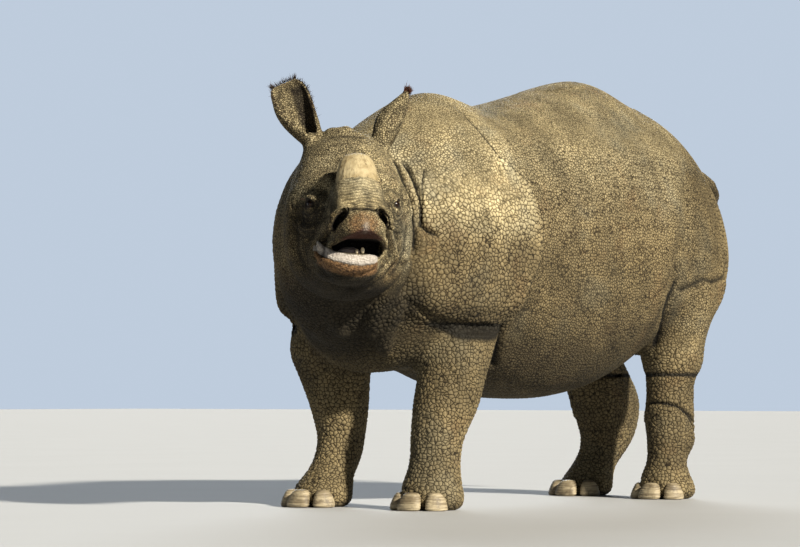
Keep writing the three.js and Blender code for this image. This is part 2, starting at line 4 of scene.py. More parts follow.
import bpy
import numpy as np
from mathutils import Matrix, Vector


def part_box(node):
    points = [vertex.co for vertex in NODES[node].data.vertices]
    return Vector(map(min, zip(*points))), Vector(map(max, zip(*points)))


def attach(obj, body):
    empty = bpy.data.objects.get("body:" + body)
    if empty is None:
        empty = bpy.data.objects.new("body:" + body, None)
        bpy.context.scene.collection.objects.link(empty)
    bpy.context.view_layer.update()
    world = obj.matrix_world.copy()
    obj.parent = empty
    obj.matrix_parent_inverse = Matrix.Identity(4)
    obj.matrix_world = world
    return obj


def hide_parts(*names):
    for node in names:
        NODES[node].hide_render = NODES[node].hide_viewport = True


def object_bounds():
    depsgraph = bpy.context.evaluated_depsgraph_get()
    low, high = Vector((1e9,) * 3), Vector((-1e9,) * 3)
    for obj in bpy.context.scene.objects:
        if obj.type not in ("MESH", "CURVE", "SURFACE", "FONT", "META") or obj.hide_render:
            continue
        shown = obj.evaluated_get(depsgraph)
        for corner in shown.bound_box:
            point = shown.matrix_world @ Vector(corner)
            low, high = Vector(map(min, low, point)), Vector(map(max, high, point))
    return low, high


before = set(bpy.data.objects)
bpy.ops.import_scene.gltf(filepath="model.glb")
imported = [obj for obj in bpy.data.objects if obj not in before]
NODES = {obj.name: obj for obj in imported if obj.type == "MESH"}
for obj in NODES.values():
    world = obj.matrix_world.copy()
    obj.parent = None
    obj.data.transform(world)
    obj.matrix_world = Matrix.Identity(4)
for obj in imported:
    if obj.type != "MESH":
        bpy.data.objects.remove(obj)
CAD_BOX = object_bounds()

import openvdb as vdb
from mathutils import Vector
from mathutils.kdtree import KDTree

CELL = 0.005  # voxel of the skin
COARSE = 0.010  # voxel of the rounded body
BAND = 0.034  # how far from the surface the skin's distances are known
MID_X = -0.073  # the animal's middle plane
rng = np.random.default_rng(7)


# ---------------------------------------------------------------- head frame, from the eyes

def middle(node):
    """Middle of a CAD node's box."""
    low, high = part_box(node)
    return np.array((low + high) / 2)


EYE_L = middle("eye_left")
EYE_R = middle("eye_right")
EYE_SIDES = ((EYE_L, 1), (EYE_R, -1))
EYES = (EYE_L + EYE_R) / 2
SIDE = (EYE_L - EYE_R) / np.linalg.norm(EYE_L - EYE_R)
UP = np.array([0.0, 0.0, 1.0])
AHEAD = np.cross(SIDE, UP)
if np.dot(AHEAD, middle("horn") - EYES) < 0:
    AHEAD = -AHEAD


def head_place(points):
    """Side, forward (from between the eyes) and height of points, in metres."""
    offset = points - EYES
    return offset @ SIDE, offset @ AHEAD, points[..., 2]


def head_point(side, forward, height):
    """A place given in the head's frame, in the row frame."""
    place = EYES + SIDE * side + AHEAD * forward
    return np.array([place[0], place[1], height])


def head_vector(vector):
    """A direction given sideways, forward and up in the head's frame, in the row frame."""
    return SIDE * vector[0] + AHEAD * vector[1] + UP * vector[2]


# ---------------------------------------------------------------- small tools

def ramp(value, low, high):
    """0 below low, 1 above high, smooth between."""
    t = np.clip((value - low) / (high - low), 0, 1)
    return t * t * (3 - 2 * t)


def below(value, low, high):
    """1 below low, 0 above high, smooth between."""
    return 1 - ramp(value, low, high)


def bell(value, centre, width):
    """1 at the centre, fading to both sides."""
    return np.exp(-0.5 * ((value - centre) / width) ** 2)


def smooth_through(x, y, at):
    """Values of a smooth curve through the points (x, y)."""
    slope = np.gradient(y, x)
    k = np.clip(np.searchsorted(x, at) - 1, 0, len(x) - 2)
    h = x[k + 1] - x[k]
    t = (at - x[k]) / h
    start = (1 + 2 * t) * (1 - t) ** 2 * y[k] + t * (1 - t) ** 2 * h * slope[k]
    return start + t * t * (3 - 2 * t) * y[k + 1] + t * t * (t - 1) * h * slope[k + 1]


def read(items, name, width, kind=np.float32):
    """A property of all the items of a mesh, one row for each."""
    values = np.empty(len(items) * width, kind)
    items.foreach_get(name, values)
    return values.reshape(-1, width)


def mesh_arrays(obj):
    """Points and triangles of a mesh object."""
    mesh = obj.data
    mesh.calc_loop_triangles()
    faces = read(mesh.loop_triangles, "vertices", 3, np.int32)
    return read(mesh.vertices, "co", 3), faces.astype(np.uint32)


def store(mesh, name, values):
    """Keep a number for each point of a mesh, for materials and Geometry Nodes."""
    attribute = mesh.attributes.new(name, "FLOAT", "POINT")
    attribute.data.foreach_set("value", np.asarray(values, np.float32))


def store_place(mesh):
    """Keep the place of each point, so that patterns stay fixed to the piece."""
    place = mesh.attributes.new("rest", "FLOAT_VECTOR", "POINT")
    place.data.foreach_set("vector", read(mesh.vertices, "co", 3).ravel())


def mesh_object(name, points, faces):
    """A smooth mesh object from arrays of points and of faces with three or four corners."""
    mesh = bpy.data.meshes.new(name)
    count, corners = faces.shape
    mesh.vertices.add(len(points))
    mesh.vertices.foreach_set("co", np.asarray(points, np.float32).ravel())
    mesh.loops.add(count * corners)
    mesh.loops.foreach_set("vertex_index", faces.astype(np.int32).ravel())
    mesh.polygons.add(count)
    mesh.polygons.foreach_set("loop_start", np.arange(count, dtype=np.int32) * corners)
    mesh.polygons.foreach_set("use_smooth", np.ones(count, bool))
    mesh.update(calc_edges=True)
    mesh.validate()
    obj = bpy.data.objects.new(name, mesh)
    bpy.context.scene.collection.objects.link(obj)
    return obj


def rounded_copy(node, levels=3):
    """Points and triangles of a CAD node, welded and subdivided."""
    copy = bpy.data.objects.new(node + "_copy", NODES[node].data.copy())
    bpy.context.scene.collection.objects.link(copy)
    weld = copy.modifiers.new("weld", "WELD")
    weld.merge_threshold = 0.0002
    subdivide = copy.modifiers.new("subdivide", "SUBSURF")
    subdivide.levels = levels
    graph = bpy.context.evaluated_depsgraph_get()
    mesh = bpy.data.meshes.new_from_object(copy.evaluated_get(graph))
    bpy.data.objects.remove(copy)
    holder = bpy.data.objects.new("holder", mesh)
    arrays = mesh_arrays(holder)
    bpy.data.objects.remove(holder)
    return arrays


# ---------------------------------------------------------------- volumes

MARGIN = 0.05
ORIGIN = np.array(CAD_BOX[0]) - MARGIN
SPAN = np.array(CAD_BOX[1]) + MARGIN - ORIGIN


def level_set(points, faces, cell, band):
    """Signed distances round a closed mesh, measured from ORIGIN."""
    kind = "quads" if faces.shape[1] == 4 else "triangles"
    return vdb.FloatGrid.createLevelSetFromPolygons(
        (points - ORIGIN).astype(np.float32),
        transform=vdb.createLinearTransform(voxelSize=cell),
        halfWidth=band,
        **{kind: faces.astype(np.uint32)},
    )


def dense(grid, shape, corner=(0, 0, 0)):
    """The values of a grid in a block of cells."""
    array = np.zeros(shape, np.float32)
    grid.copyToArray(array, ijk=corner)
    return array


def surface(grid, level=0.0):
    """Points and quads of a grid's surface, in the row frame, with normals outwards."""
    points, quads = grid.convertToQuads(isovalue=level)
    points = points.astype(np.float64) + ORIGIN
    quads = quads.astype(np.int64)
    a, b, c = points[quads[:, 0]], points[quads[:, 1]], points[quads[:, 2]]
    if np.einsum("ij,ij->", a - points.mean(0), np.cross(b - a, c - a)) < 0:
        quads = quads[:, ::-1]
    return points, quads


def box_mean(array, reach, axis):
    """Running mean over 2 * reach + 1 cells along an axis, with the edge values carried on."""
    width = 2 * reach + 1
    pads = [(0, 0)] * 3
    pads[axis] = (reach + 1, reach)
    total = np.cumsum(np.pad(array, pads, mode="edge"), axis=axis, dtype=np.float64)
    count = array.shape[axis]
    ahead = np.take(total, range(width, width + count), axis=axis)
    behind = np.take(total, range(count), axis=axis)
    return ((ahead - behind) / width).astype(np.float32)


def rounded(array, reach):
    """An array blurred three times along each axis."""
    for _ in range(3):
        for axis in range(3):
            array = box_mean(array, reach, axis)
    return array


FLESH = ["head", "neck", "shoulders", "barrel", "rump", "tail", "ear_left", "ear_right",
         "leg_front_left", "leg_front_right", "leg_hind_left", "leg_hind_right"]
BODY = [name for name in FLESH if not name.startswith(("ear", "tail"))]


def filled(node, shape):
    """How full each coarse cell is of a node."""
    points, faces = mesh_arrays(NODES[node])
    distance = dense(level_set(points, faces, COARSE, 3.0), shape)
    return np.clip(0.5 - distance / COARSE, 0, 1)


def rounded_body():
    """The flesh in one piece, its facets rounded away: widest on the trunk, least on the muzzle."""
    shape = tuple(int(n) for n in np.ceil(SPAN / COARSE) + 1)
    full = sum(filled(name, shape) for name in BODY)
    axes = [ORIGIN[i] + COARSE * np.arange(shape[i]) for i in range(3)]
    x = axes[0][:, None, None]
    y = axes[1][None, :, None]
    z = axes[2][None, None, :]
    horn_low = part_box("horn")[0][2]
    full += filled("horn", shape) * (z < horn_low + 0.022)
    for name in ("eye_left", "eye_right"):
        full += filled(name, shape)
    full = np.clip(full, 0, 1)
    fine = rounded(full, 1)
    middling = rounded(full, 2)
    broad = rounded(full, 4)
    ahead = (x - EYES[0]) * AHEAD[0] + (y - EYES[1]) * AHEAD[1]
    muzzle = ramp(ahead, 0.02, 0.12)
    trunk = ramp(y, -1.02, -0.86) * ramp(z, 0.78, 0.88)
    belly = ramp(y, -0.30, -0.15) * below(y, 0.45, 0.62) * below(z, 0.78, 0.88)
    plain = np.clip(trunk + belly, 0, 1) * np.ones(shape, np.float32)
    body = fine * muzzle + middling * (1 - muzzle)
    body = body * (1 - plain) + broad * plain
    grid = vdb.FloatGrid(0.5)
    grid.copyFromArray((0.5 - body).astype(np.float32))
    grid.transform = vdb.createLinearTransform(voxelSize=COARSE)
    return surface(grid)


def blend_union(a, b, reach):
    """Smooth union of two distance arrays."""
    mix = np.clip(0.5 + 0.5 * (b - a) / reach, 0, 1)
    return b * (1 - mix) + a * mix - reach * mix * (1 - mix)


def chain(s, f, z, path, radii):
    """Distance to a string of capsules with changing radius."""
    best = None
    for k in range(len(path) - 1):
        a, b = np.array(path[k]), np.array(path[k + 1])
        d = b - a
        t = ((s - a[0]) * d[0] + (f - a[1]) * d[1] + (z - a[2]) * d[2]) / np.dot(d, d)
        t = np.clip(t, 0, 1)
        off = (s - a[0] - t * d[0], f - a[1] - t * d[1], z - a[2] - t * d[2])
        gap = np.sqrt(off[0] ** 2 + off[1] ** 2 + off[2] ** 2)
        gap -= radii[k] + (radii[k + 1] - radii[k]) * t
        best = gap if best is None else np.minimum(best, gap)
    return best


def egg(s, f, z, centre, radii):
    """About the distance to an ellipsoid."""
    p = [(value - c) / r for value, c, r in zip((s, f, z), centre, radii)]
    q = [value / r for value, r in zip(p, radii)]
    k0 = np.sqrt(p[0] ** 2 + p[1] ** 2 + p[2] ** 2)
    k1 = np.sqrt(q[0] ** 2 + q[1] ** 2 + q[2] ** 2)
    return k0 * (k0 - 1) / np.maximum(k1, 1e-6)


class Block:
    """The distances in a box of the skin's cells, with round shapes to add to them or cut from them."""

    def __init__(self, array, place, corner):
        self.array = array
        self.place = place
        self.corner = corner

    def add(self, distance, reach):
        self.array = blend_union(self.array, distance, reach)

    def cut(self, distance, reach):
        self.array = -blend_union(-self.array, distance, reach)

    def add_chain(self, path, radii, reach):
        self.add(chain(*self.place, path, radii), reach)

    def cut_chain(self, path, radii, reach):
        self.cut(chain(*self.place, path, radii), reach)

    def add_egg(self, centre, radii, reach):
        self.add(egg(*self.place, centre, radii), reach)

    def cut_egg(self, centre, radii, reach):
        self.cut(egg(*self.place, centre, radii), reach)


# Lips and nostrils, in head coordinates (sideways, forward of the eyes, height), and radii.
LOWER_LIP = [(-0.142, 0.078, 0.962), (-0.134, 0.112, 0.940), (-0.104, 0.158, 0.913), (-0.060, 0.184, 0.897),
             (-0.020, 0.192, 0.893), (0.020, 0.182, 0.897), (0.052, 0.152, 0.906), (0.064, 0.110, 0.917)]
LOWER_LIP_RADII = [0.012, 0.017, 0.019, 0.019, 0.019, 0.018, 0.015, 0.012]
INNER_LIP = [(-0.132, 0.082, 0.982), (-0.124, 0.112, 0.968), (-0.098, 0.152, 0.938), (-0.060, 0.180, 0.925),
             (-0.020, 0.190, 0.921), (0.020, 0.180, 0.922), (0.050, 0.150, 0.924), (0.066, 0.106, 0.930)]
INNER_LIP_RADII = [0.010, 0.018, 0.021, 0.022, 0.022, 0.021, 0.017, 0.012]
LIP_LINE = [(-0.150, 0.956), (-0.137, 0.943), (-0.118, 0.928), (-0.091, 0.916),
            (-0.043, 0.904), (0.009, 0.900), (0.055, 0.908), (0.075, 0.918)]
UPPER_LIP = [(-0.104, 0.120, 0.978), (-0.090, 0.180, 0.984), (-0.064, 0.236, 1.002), (-0.030, 0.272, 1.018),
             (0.008, 0.292, 1.038), (0.040, 0.274, 1.020), (0.068, 0.238, 1.004), (0.092, 0.190, 0.988),
             (0.098, 0.150, 0.966)]
UPPER_LIP_RADII = [0.008, 0.011, 0.012, 0.013, 0.017, 0.013, 0.012, 0.012, 0.009]
NOSTRILS = [[(-0.060, 0.270, 1.083), (-0.074, 0.254, 1.062), (-0.090, 0.226, 1.036)],
            [(0.068, 0.268, 1.083), (0.081, 0.252, 1.066), (0.092, 0.228, 1.044)]]
NOSTRIL_RADII = [0.012, 0.0175, 0.013]
# Round each nostril: outwards, forward and up from its own places.
WING_OFFSETS = [(-0.014, 0.000, 0.010), (0.006, -0.006, 0.022),
                (0.024, -0.012, 0.012), (0.020, -0.012, -0.008)]
WING_RADII = [0.008, 0.011, 0.012, 0.008]
# At each eye: outwards, forward and up from the point EYE_OUT to its side of the middle.
EYE_OUT = 0.150
UPPER_LID = [(0.010, -0.030, 0.012), (0.014, 0.004, 0.023), (-0.006, 0.034, 0.010)]
EYE_SLIT = [(0.034, -0.012, 0.005), (0.026, 0.020, 0.003), (0.004, 0.038, -0.004)]
POLL = [(-0.088, -0.262, 1.388), (-0.052, -0.252, 1.408), (0.004, -0.252, 1.406)]
HORN_S, HORN_F = (float(value) for value in head_place(middle("horn"))[:2])
# Side and forward place of each ear's root, and how far the ear leans sideways.
EAR_ROOTS = [((0.128, -0.266), 0.030), ((-0.118, -0.266), -0.036)]


def horn_root(block):
    """Skin that climbs the foot of the horn, with a collar round it."""
    block.add_egg((HORN_S, HORN_F, 1.140), (0.074, 0.082, 0.098), 0.050)
    s, f, z = block.place
    squeezed = HORN_F + (f - HORN_F) * 0.88
    collar = [(HORN_S, HORN_F, 1.096), (HORN_S, HORN_F, 1.147)]
    block.add(chain(s, squeezed, z, collar, [0.098, 0.0895]), 0.034)


def mouth(block):
    """The opening under the raised upper lip, the mouth behind it, the chin and the lips."""
    block.cut_egg((0.006, 0.350, 0.958), (0.104, 0.170, 0.064), 0.006)
    s, f, z = block.place
    half_width, half_height = 0.098, 0.031
    tall = ((s - 0.004) / half_width) ** 4 + ((z - 0.966) / half_height) ** 4
    block.cut(np.maximum((tall ** 0.25 - 1) * half_height, -f), 0.008)
    block.add_egg((-0.032, 0.092, 0.880), (0.100, 0.082, 0.045), 0.02)
    block.add_chain(LOWER_LIP, LOWER_LIP_RADII, 0.010)
    block.add_chain(INNER_LIP, INNER_LIP_RADII, 0.003)
    block.add_chain(UPPER_LIP, UPPER_LIP_RADII, 0.014)


def nostrils(block):
    """Two nostrils that run back into the muzzle, each with a swollen wing round it."""
    for path in NOSTRILS:
        sign = np.sign(path[0][0])
        near = zip([path[0], *path], WING_OFFSETS)
        wing = [(p[0] + sign * d[0], p[1] + d[1], p[2] + d[2]) for p, d in near]
        block.add_chain(wing, WING_RADII, 0.014)
        block.cut_chain(path, NOSTRIL_RADII, 0.005)
        deep = [(p[0] + sign * 0.002, p[1] - 0.028, p[2] + 0.002) for p in path]
        block.cut_chain(deep, NOSTRIL_RADII, 0.006)
        deeper = [(p[0] - sign * 0.004, p[1] - 0.056, p[2] + 0.004) for p in path]
        block.cut_chain(deeper, [0.9 * r for r in NOSTRIL_RADII], 0.006)


def eyelids(block):
    """Swollen lids round each eye, the upper one heavier, with a slit between them."""
    for eye, sign in EYE_SIDES:
        upper = [(sign * (EYE_OUT + out), ahead, eye[2] + up) for out, ahead, up in UPPER_LID]
        slit = [(sign * (EYE_OUT + out), ahead, eye[2] + up) for out, ahead, up in EYE_SLIT]
        block.add_egg((sign * (EYE_OUT - 0.002), 0.0, eye[2]), (0.029, 0.036, 0.029), 0.020)
        block.add_chain(upper, [0.006, 0.009, 0.006], 0.012)
        block.cut_chain(slit, [0.011, 0.0205, 0.013], 0.004)


def ear_stems(block):
    """The thick foot of each ear."""
    for (side, ahead), lean in EAR_ROOTS:
        stem = [(side * 0.9, ahead, 1.300), (side, ahead, 1.352), (side + lean * 0.35, ahead, 1.392)]
        block.add_chain(stem, [0.060, 0.038, 0.026], 0.025)


def with_head(block):
    """The features of the head, made in the head's frame."""
    x, y, z = block.place
    s = (x - EYES[0]) * SIDE[0] + (y - EYES[1]) * SIDE[1] + 0 * z
    f = (x - EYES[0]) * AHEAD[0] + (y - EYES[1]) * AHEAD[1] + 0 * z
    block.place = (s, f, z + 0 * s)
    horn_root(block)
    block.add_chain(POLL, [0.018, 0.024, 0.020], 0.03)
    mouth(block)
    nostrils(block)
    eyelids(block)
    ear_stems(block)


# Each ear: rows of place along it, half width, depth, half angle of the slit in degrees, wall and lean.
EAR_ROWS = {
    "ear_left": [(-0.16, 0.028, 0.028, 8, 0.015, 0.0), (0.0, 0.032, 0.034, 14, 0.014, 0.0),
                 (0.18, 0.041, 0.044, 34, 0.012, 0.0), (0.40, 0.047, 0.050, 56, 0.011, -0.002),
                 (0.60, 0.040, 0.043, 66, 0.010, 0.003), (0.78, 0.026, 0.030, 72, 0.009, 0.012),
                 (0.92, 0.014, 0.016, 76, 0.009, 0.016), (1.0, 0.009, 0.009, 78, 0.008, 0.018)],
    "ear_right": [(-0.16, 0.030, 0.026, 8, 0.015, 0.0), (0.0, 0.038, 0.032, 14, 0.014, 0.0),
                  (0.18, 0.054, 0.044, 34, 0.012, 0.006), (0.40, 0.070, 0.050, 56, 0.011, 0.014),
                  (0.62, 0.079, 0.044, 66, 0.010, 0.014), (0.82, 0.076, 0.034, 72, 0.009, 0.010),
                  (0.95, 0.066, 0.022, 76, 0.009, 0.012), (1.0, 0.052, 0.014, 78, 0.008, 0.014)],
}
# Root, direction and opening of each ear in the head's frame, and its length.
EAR_SETTINGS = {
    "ear_left": {"root": (0.128, -0.266, 1.372), "axis": (0.084, -0.010, 0.188),
                 "opening": (0.55, -0.8, 0), "length": 0.226},
    "ear_right": {"root": (-0.118, -0.266, 1.380), "axis": (-0.096, 0.010, 0.208),
                  "opening": (0.4, 0.9, 0), "length": 0.240},
}


def ear_axes(made):
    """An ear's directions: along it, out of its opening, across it, and away from the head."""
    up = head_vector(made["axis"])
    up /= np.linalg.norm(up)
    front = head_vector(made["opening"])
    front -= up * np.dot(front, up)
    front /= np.linalg.norm(front)
    return up, front, np.cross(front, up), head_vector((np.sign(made["root"][0]), 0, 0))


def ear_rings(name, count=46, steps=34):
    """Rings of points round an ear: the outside of each C-shaped section, then its inside back again."""
    made = EAR_SETTINGS[name]
    up, front, across, out = ear_axes(made)
    rows = np.array(EAR_ROWS[name], float)
    t = np.linspace(rows[0, 0], rows[-1, 0], count)
    columns = [smooth_through(rows[:, 0], rows[:, k], t)[:, None, None] for k in range(1, 6)]
    width, depth, slit, wall, lean = columns
    slit = np.radians(slit)
    centre = head_point(*made["root"]) + up * t[:, None, None] * made["length"] + out * lean
    turn = slit + np.linspace(0, 1, steps)[None, :, None] * 2 * (math.pi - slit)
    outer = centre + front * depth * np.cos(turn) + across * width * np.sin(turn)
    inner = centre + front * (depth - wall) * np.cos(turn) + across * (width - wall) * np.sin(turn)
    return np.concatenate([outer, inner[:, ::-1]], axis=1)


def ear_shell(name):
    """Points and quads of an ear's closed, C-shaped wall."""
    rings = ear_rings(name)
    count, around = rings.shape[:2]
    index = np.arange(count * around).reshape(count, around)
    turned = np.roll(index, -1, axis=1)
    quads = [np.stack([index[:-1], turned[:-1], turned[1:], index[1:]], axis=-1).reshape(-1, 4)]
    half = around // 2
    for row, flip in ((index[0], 1), (index[-1], -1)):
        out, back = row[:half], row[half:][::-1]
        quads.append(np.stack([out[:-1], back[:-1], back[1:], out[1:]], axis=-1)[:, ::flip])
    return rings.reshape(-1, 3), np.concatenate(quads)


# Hanging folds and undercuts of the body: places along each, in metres, and radii.
BIB = [[(0.262, -1.000, 0.925), (0.236, -1.018, 0.872), (0.205, -1.030, 0.820), (0.160, -1.030, 0.765),
        (0.122, -1.015, 0.712), (0.092, -0.985, 0.660)],
       [(0.215, -0.965, 0.800), (0.180, -0.965, 0.745), (0.138, -0.955, 0.690), (0.108, -0.930, 0.630),
        (0.090, -0.900, 0.596)],
       [(0.020, -1.150, 0.768), (0.010, -1.105, 0.720), (0.005, -1.060, 0.672)]]
BIB_RADII = [[0.026, 0.034, 0.038, 0.036, 0.030, 0.016],
             [0.026, 0.034, 0.036, 0.030, 0.014],
             [0.02, 0.028, 0.018]]
SHIELD_RIM = [(0.330, -0.480, 0.704), (0.334, -0.520, 0.696), (0.335, -0.585, 0.692), (0.318, -0.689, 0.694),
              (0.290, -0.777, 0.704), (0.280, -0.865, 0.728), (0.262, -0.925, 0.760), (0.235, -0.970, 0.800)]
SHIELD_RIM_RADII = [0.008, 0.018, 0.024, 0.024, 0.024, 0.022, 0.020, 0.010]
TAIL = [(-0.073, 1.300, 1.425), (-0.072, 1.415, 1.414), (-0.071, 1.512, 1.399), (-0.070, 1.590, 1.374),
        (-0.069, 1.622, 1.338), (-0.068, 1.598, 1.276), (-0.068, 1.552, 1.190), (-0.069, 1.514, 1.100),
        (-0.075, 1.482, 0.980), (-0.079, 1.458, 0.860), (-0.081, 1.446, 0.780)]
TAIL_RADII = [0.052, 0.044, 0.036, 0.030, 0.026, 0.025, 0.024, 0.022, 0.020, 0.018, 0.013]
# Folds round the hind legs above the knee: middle and radii of each, at one height.
RING_HEIGHT = 0.522
THIGH_RINGS = [((0.197, 0.889), (0.120, 0.132)), ((-0.337, 1.024), (0.136, 0.160))]


def mirrored(path):
    """The same path on the animal's other side."""
    return [(2 * MID_X - x, y, z) for x, y, z in path]


def ring_path(centre, radii, height, count=18):
    """A level closed path round a leg."""
    turns = np.linspace(0, 2 * math.pi, count + 1)
    return [(centre[0] + radii[0] * math.cos(t), centre[1] + radii[1] * math.sin(t), height) for t in turns]


def edit_box(skin, low, high, change):
    """Change the distances inside a box of the skin's grid."""
    corner = tuple(int(max(n, 0)) for n in np.floor((np.array(low) - ORIGIN) / CELL))
    top = np.ceil((np.array(high) - ORIGIN) / CELL).astype(int)
    shape = tuple(int(n) for n in top - corner)
    axes = [ORIGIN[i] + CELL * (corner[i] + np.arange(shape[i])) for i in range(3)]
    place = np.meshgrid(*axes, indexing="ij", sparse=True)
    block = Block(dense(skin, shape, corner), place, corner)
    change(block)
    skin.copyFromArray(np.clip(block.array, -BAND, BAND).astype(np.float32), ijk=corner)


def with_tail(block):
    """The tail, which hangs down behind the rump."""
    block.add_chain(TAIL, TAIL_RADII, 0.012)


def with_bib(block):
    """The folds that hang under the throat."""
    for path, radii in zip(BIB, BIB_RADII):
        block.add_chain(path, radii, 0.022)


def add_ear(skin, name):
    """Join an ear's shell to the skin, a little thicker than it was drawn."""
    points, faces = ear_shell(name)

    def with_shell(block):
        shell = dense(level_set(points, faces, CELL, BAND / CELL), block.array.shape, block.corner)
        block.add(shell - 0.002, 0.012)

    edit_box(skin, points.min(0) - 0.05, points.max(0) + 0.05, with_shell)


def whole_skin():
    """Points and quads of the whole skin, grown from the rounded flesh."""
    points, quads = rounded_body()
    skin = level_set(points, quads, CELL, BAND / CELL)
    edit_box(skin, (-0.20, 1.20, 0.68), (0.06, 1.69, 1.54), with_tail)
    low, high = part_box("head")
    edit_box(skin, np.array(low) - 0.04, np.array(high) + 0.04, with_head)
    add_ear(skin, "ear_left")
    add_ear(skin, "ear_right")
    edit_box(skin, (-0.10, -1.24, 0.54), (0.36, -0.82, 1.0), with_bib)
    for rim, low_x, high_x in ((SHIELD_RIM, 0.18, 0.42), (mirrored(SHIELD_RIM), -0.58, -0.32)):
        edit_box(skin, (low_x, -1.02, 0.60), (high_x, -0.32, 0.84),
                 lambda block: block.cut_chain(rim, SHIELD_RIM_RADII, 0.008))
    for (x, y), radii in THIGH_RINGS:
        ring = ring_path((x, y), radii, RING_HEIGHT)
        reach = max(radii) + 0.05
        edit_box(skin, (x - reach, y - reach, 0.47), (x + reach, y + reach, 0.57),
                 lambda block: block.cut_chain(ring, [0.013] * len(ring), 0.005))
    return surface(skin)


def vertex_normals(points, quads):
    """Unit normals, weighted by the quads' areas."""
    across = points[quads[:, 2]] - points[quads[:, 0]]
    along = points[quads[:, 3]] - points[quads[:, 1]]
    face = np.cross(across, along)
    normals = np.zeros_like(points)
    for k in range(4):
        for axis in range(3):
            normals[:, axis] += np.bincount(quads[:, k], face[:, axis], len(points))
    return normals / np.maximum(np.linalg.norm(normals, axis=1, keepdims=True), 1e-12)


def relaxed(points, quads, times, weight):
    """Points moved towards the mean of their neighbours, each by its own weight."""
    edges = np.concatenate([quads[:, [k, (k + 1) % 4]] for k in range(4)])
    count = len(points)
    degree = np.bincount(edges[:, 0], minlength=count) + np.bincount(edges[:, 1], minlength=count)
    degree = np.maximum(degree, 1)
    for _ in range(times):
        mean = np.empty_like(points)
        for axis in range(3):
            total = np.bincount(edges[:, 0], points[edges[:, 1], axis], count)
            total += np.bincount(edges[:, 1], points[edges[:, 0], axis], count)
            mean[:, axis] = total / degree
        points = points + (mean - points) * 0.6 * weight[:, None]
    return points


# ---------------------------------------------------------------- creases drawn on the skin

def line_gap(points, normals, path, reach):
    """For points near a path: their index, signed gap to it, and share of its length."""
    path = np.array(path, float)
    near = np.all((points > path.min(0) - reach) & (points < path.max(0) + reach), axis=1)
    index = np.nonzero(near)[0]
    p, n = points[index], normals[index]
    lengths = np.linalg.norm(np.diff(path, axis=0), axis=1)
    start = np.concatenate([[0], np.cumsum(lengths)])
    gap = np.full(len(p), 9.0)
    share = np.zeros(len(p))
    for k in range(len(path) - 1):
        d = path[k + 1] - path[k]
        t = np.clip((p - path[k]) @ d / np.dot(d, d), 0, 1)
        off = p - path[k] - t[:, None] * d
        off -= n * np.einsum("ij,ij->i", off, n)[:, None] * 0.9
        size = np.linalg.norm(off, axis=1)
        side = np.sign(np.einsum("ij,ij->i", off, np.cross(d, n)))
        closer = size < np.abs(gap)
        gap[closer] = (size * np.where(side == 0, 1, side))[closer]
        share[closer] = ((start[k] + t * lengths[k]) / start[-1])[closer]
    return index, gap, share


def crease(points, normals, dark, path, width, depth, lip=0.0, lip_width=0.04, fade=0.15):
    """Press a groove along a path, with a lip on one side, and note where it gets painted shade."""
    index, gap, share = line_gap(points, normals, path, 5 * max(width, lip_width if lip else 0))
    ends = ramp(share, 0, fade) * ramp(1 - share, 0, fade)
    groove = np.exp(-0.5 * (gap / width) ** 2) * ends
    push = -depth * groove
    if lip:
        t = np.maximum(gap, 0) / lip_width
        push += lip * t * np.exp(1 - t) * ends
    points[index] += normals[index] * push[:, None]
    # narrow grooves get painted shade along their bottom
    if width < 0.013:
        mark = np.exp(-0.5 * (gap / (0.8 * width)) ** 2) * ends * min(1, depth / 0.008)
        dark[index] = np.maximum(dark[index], mark)


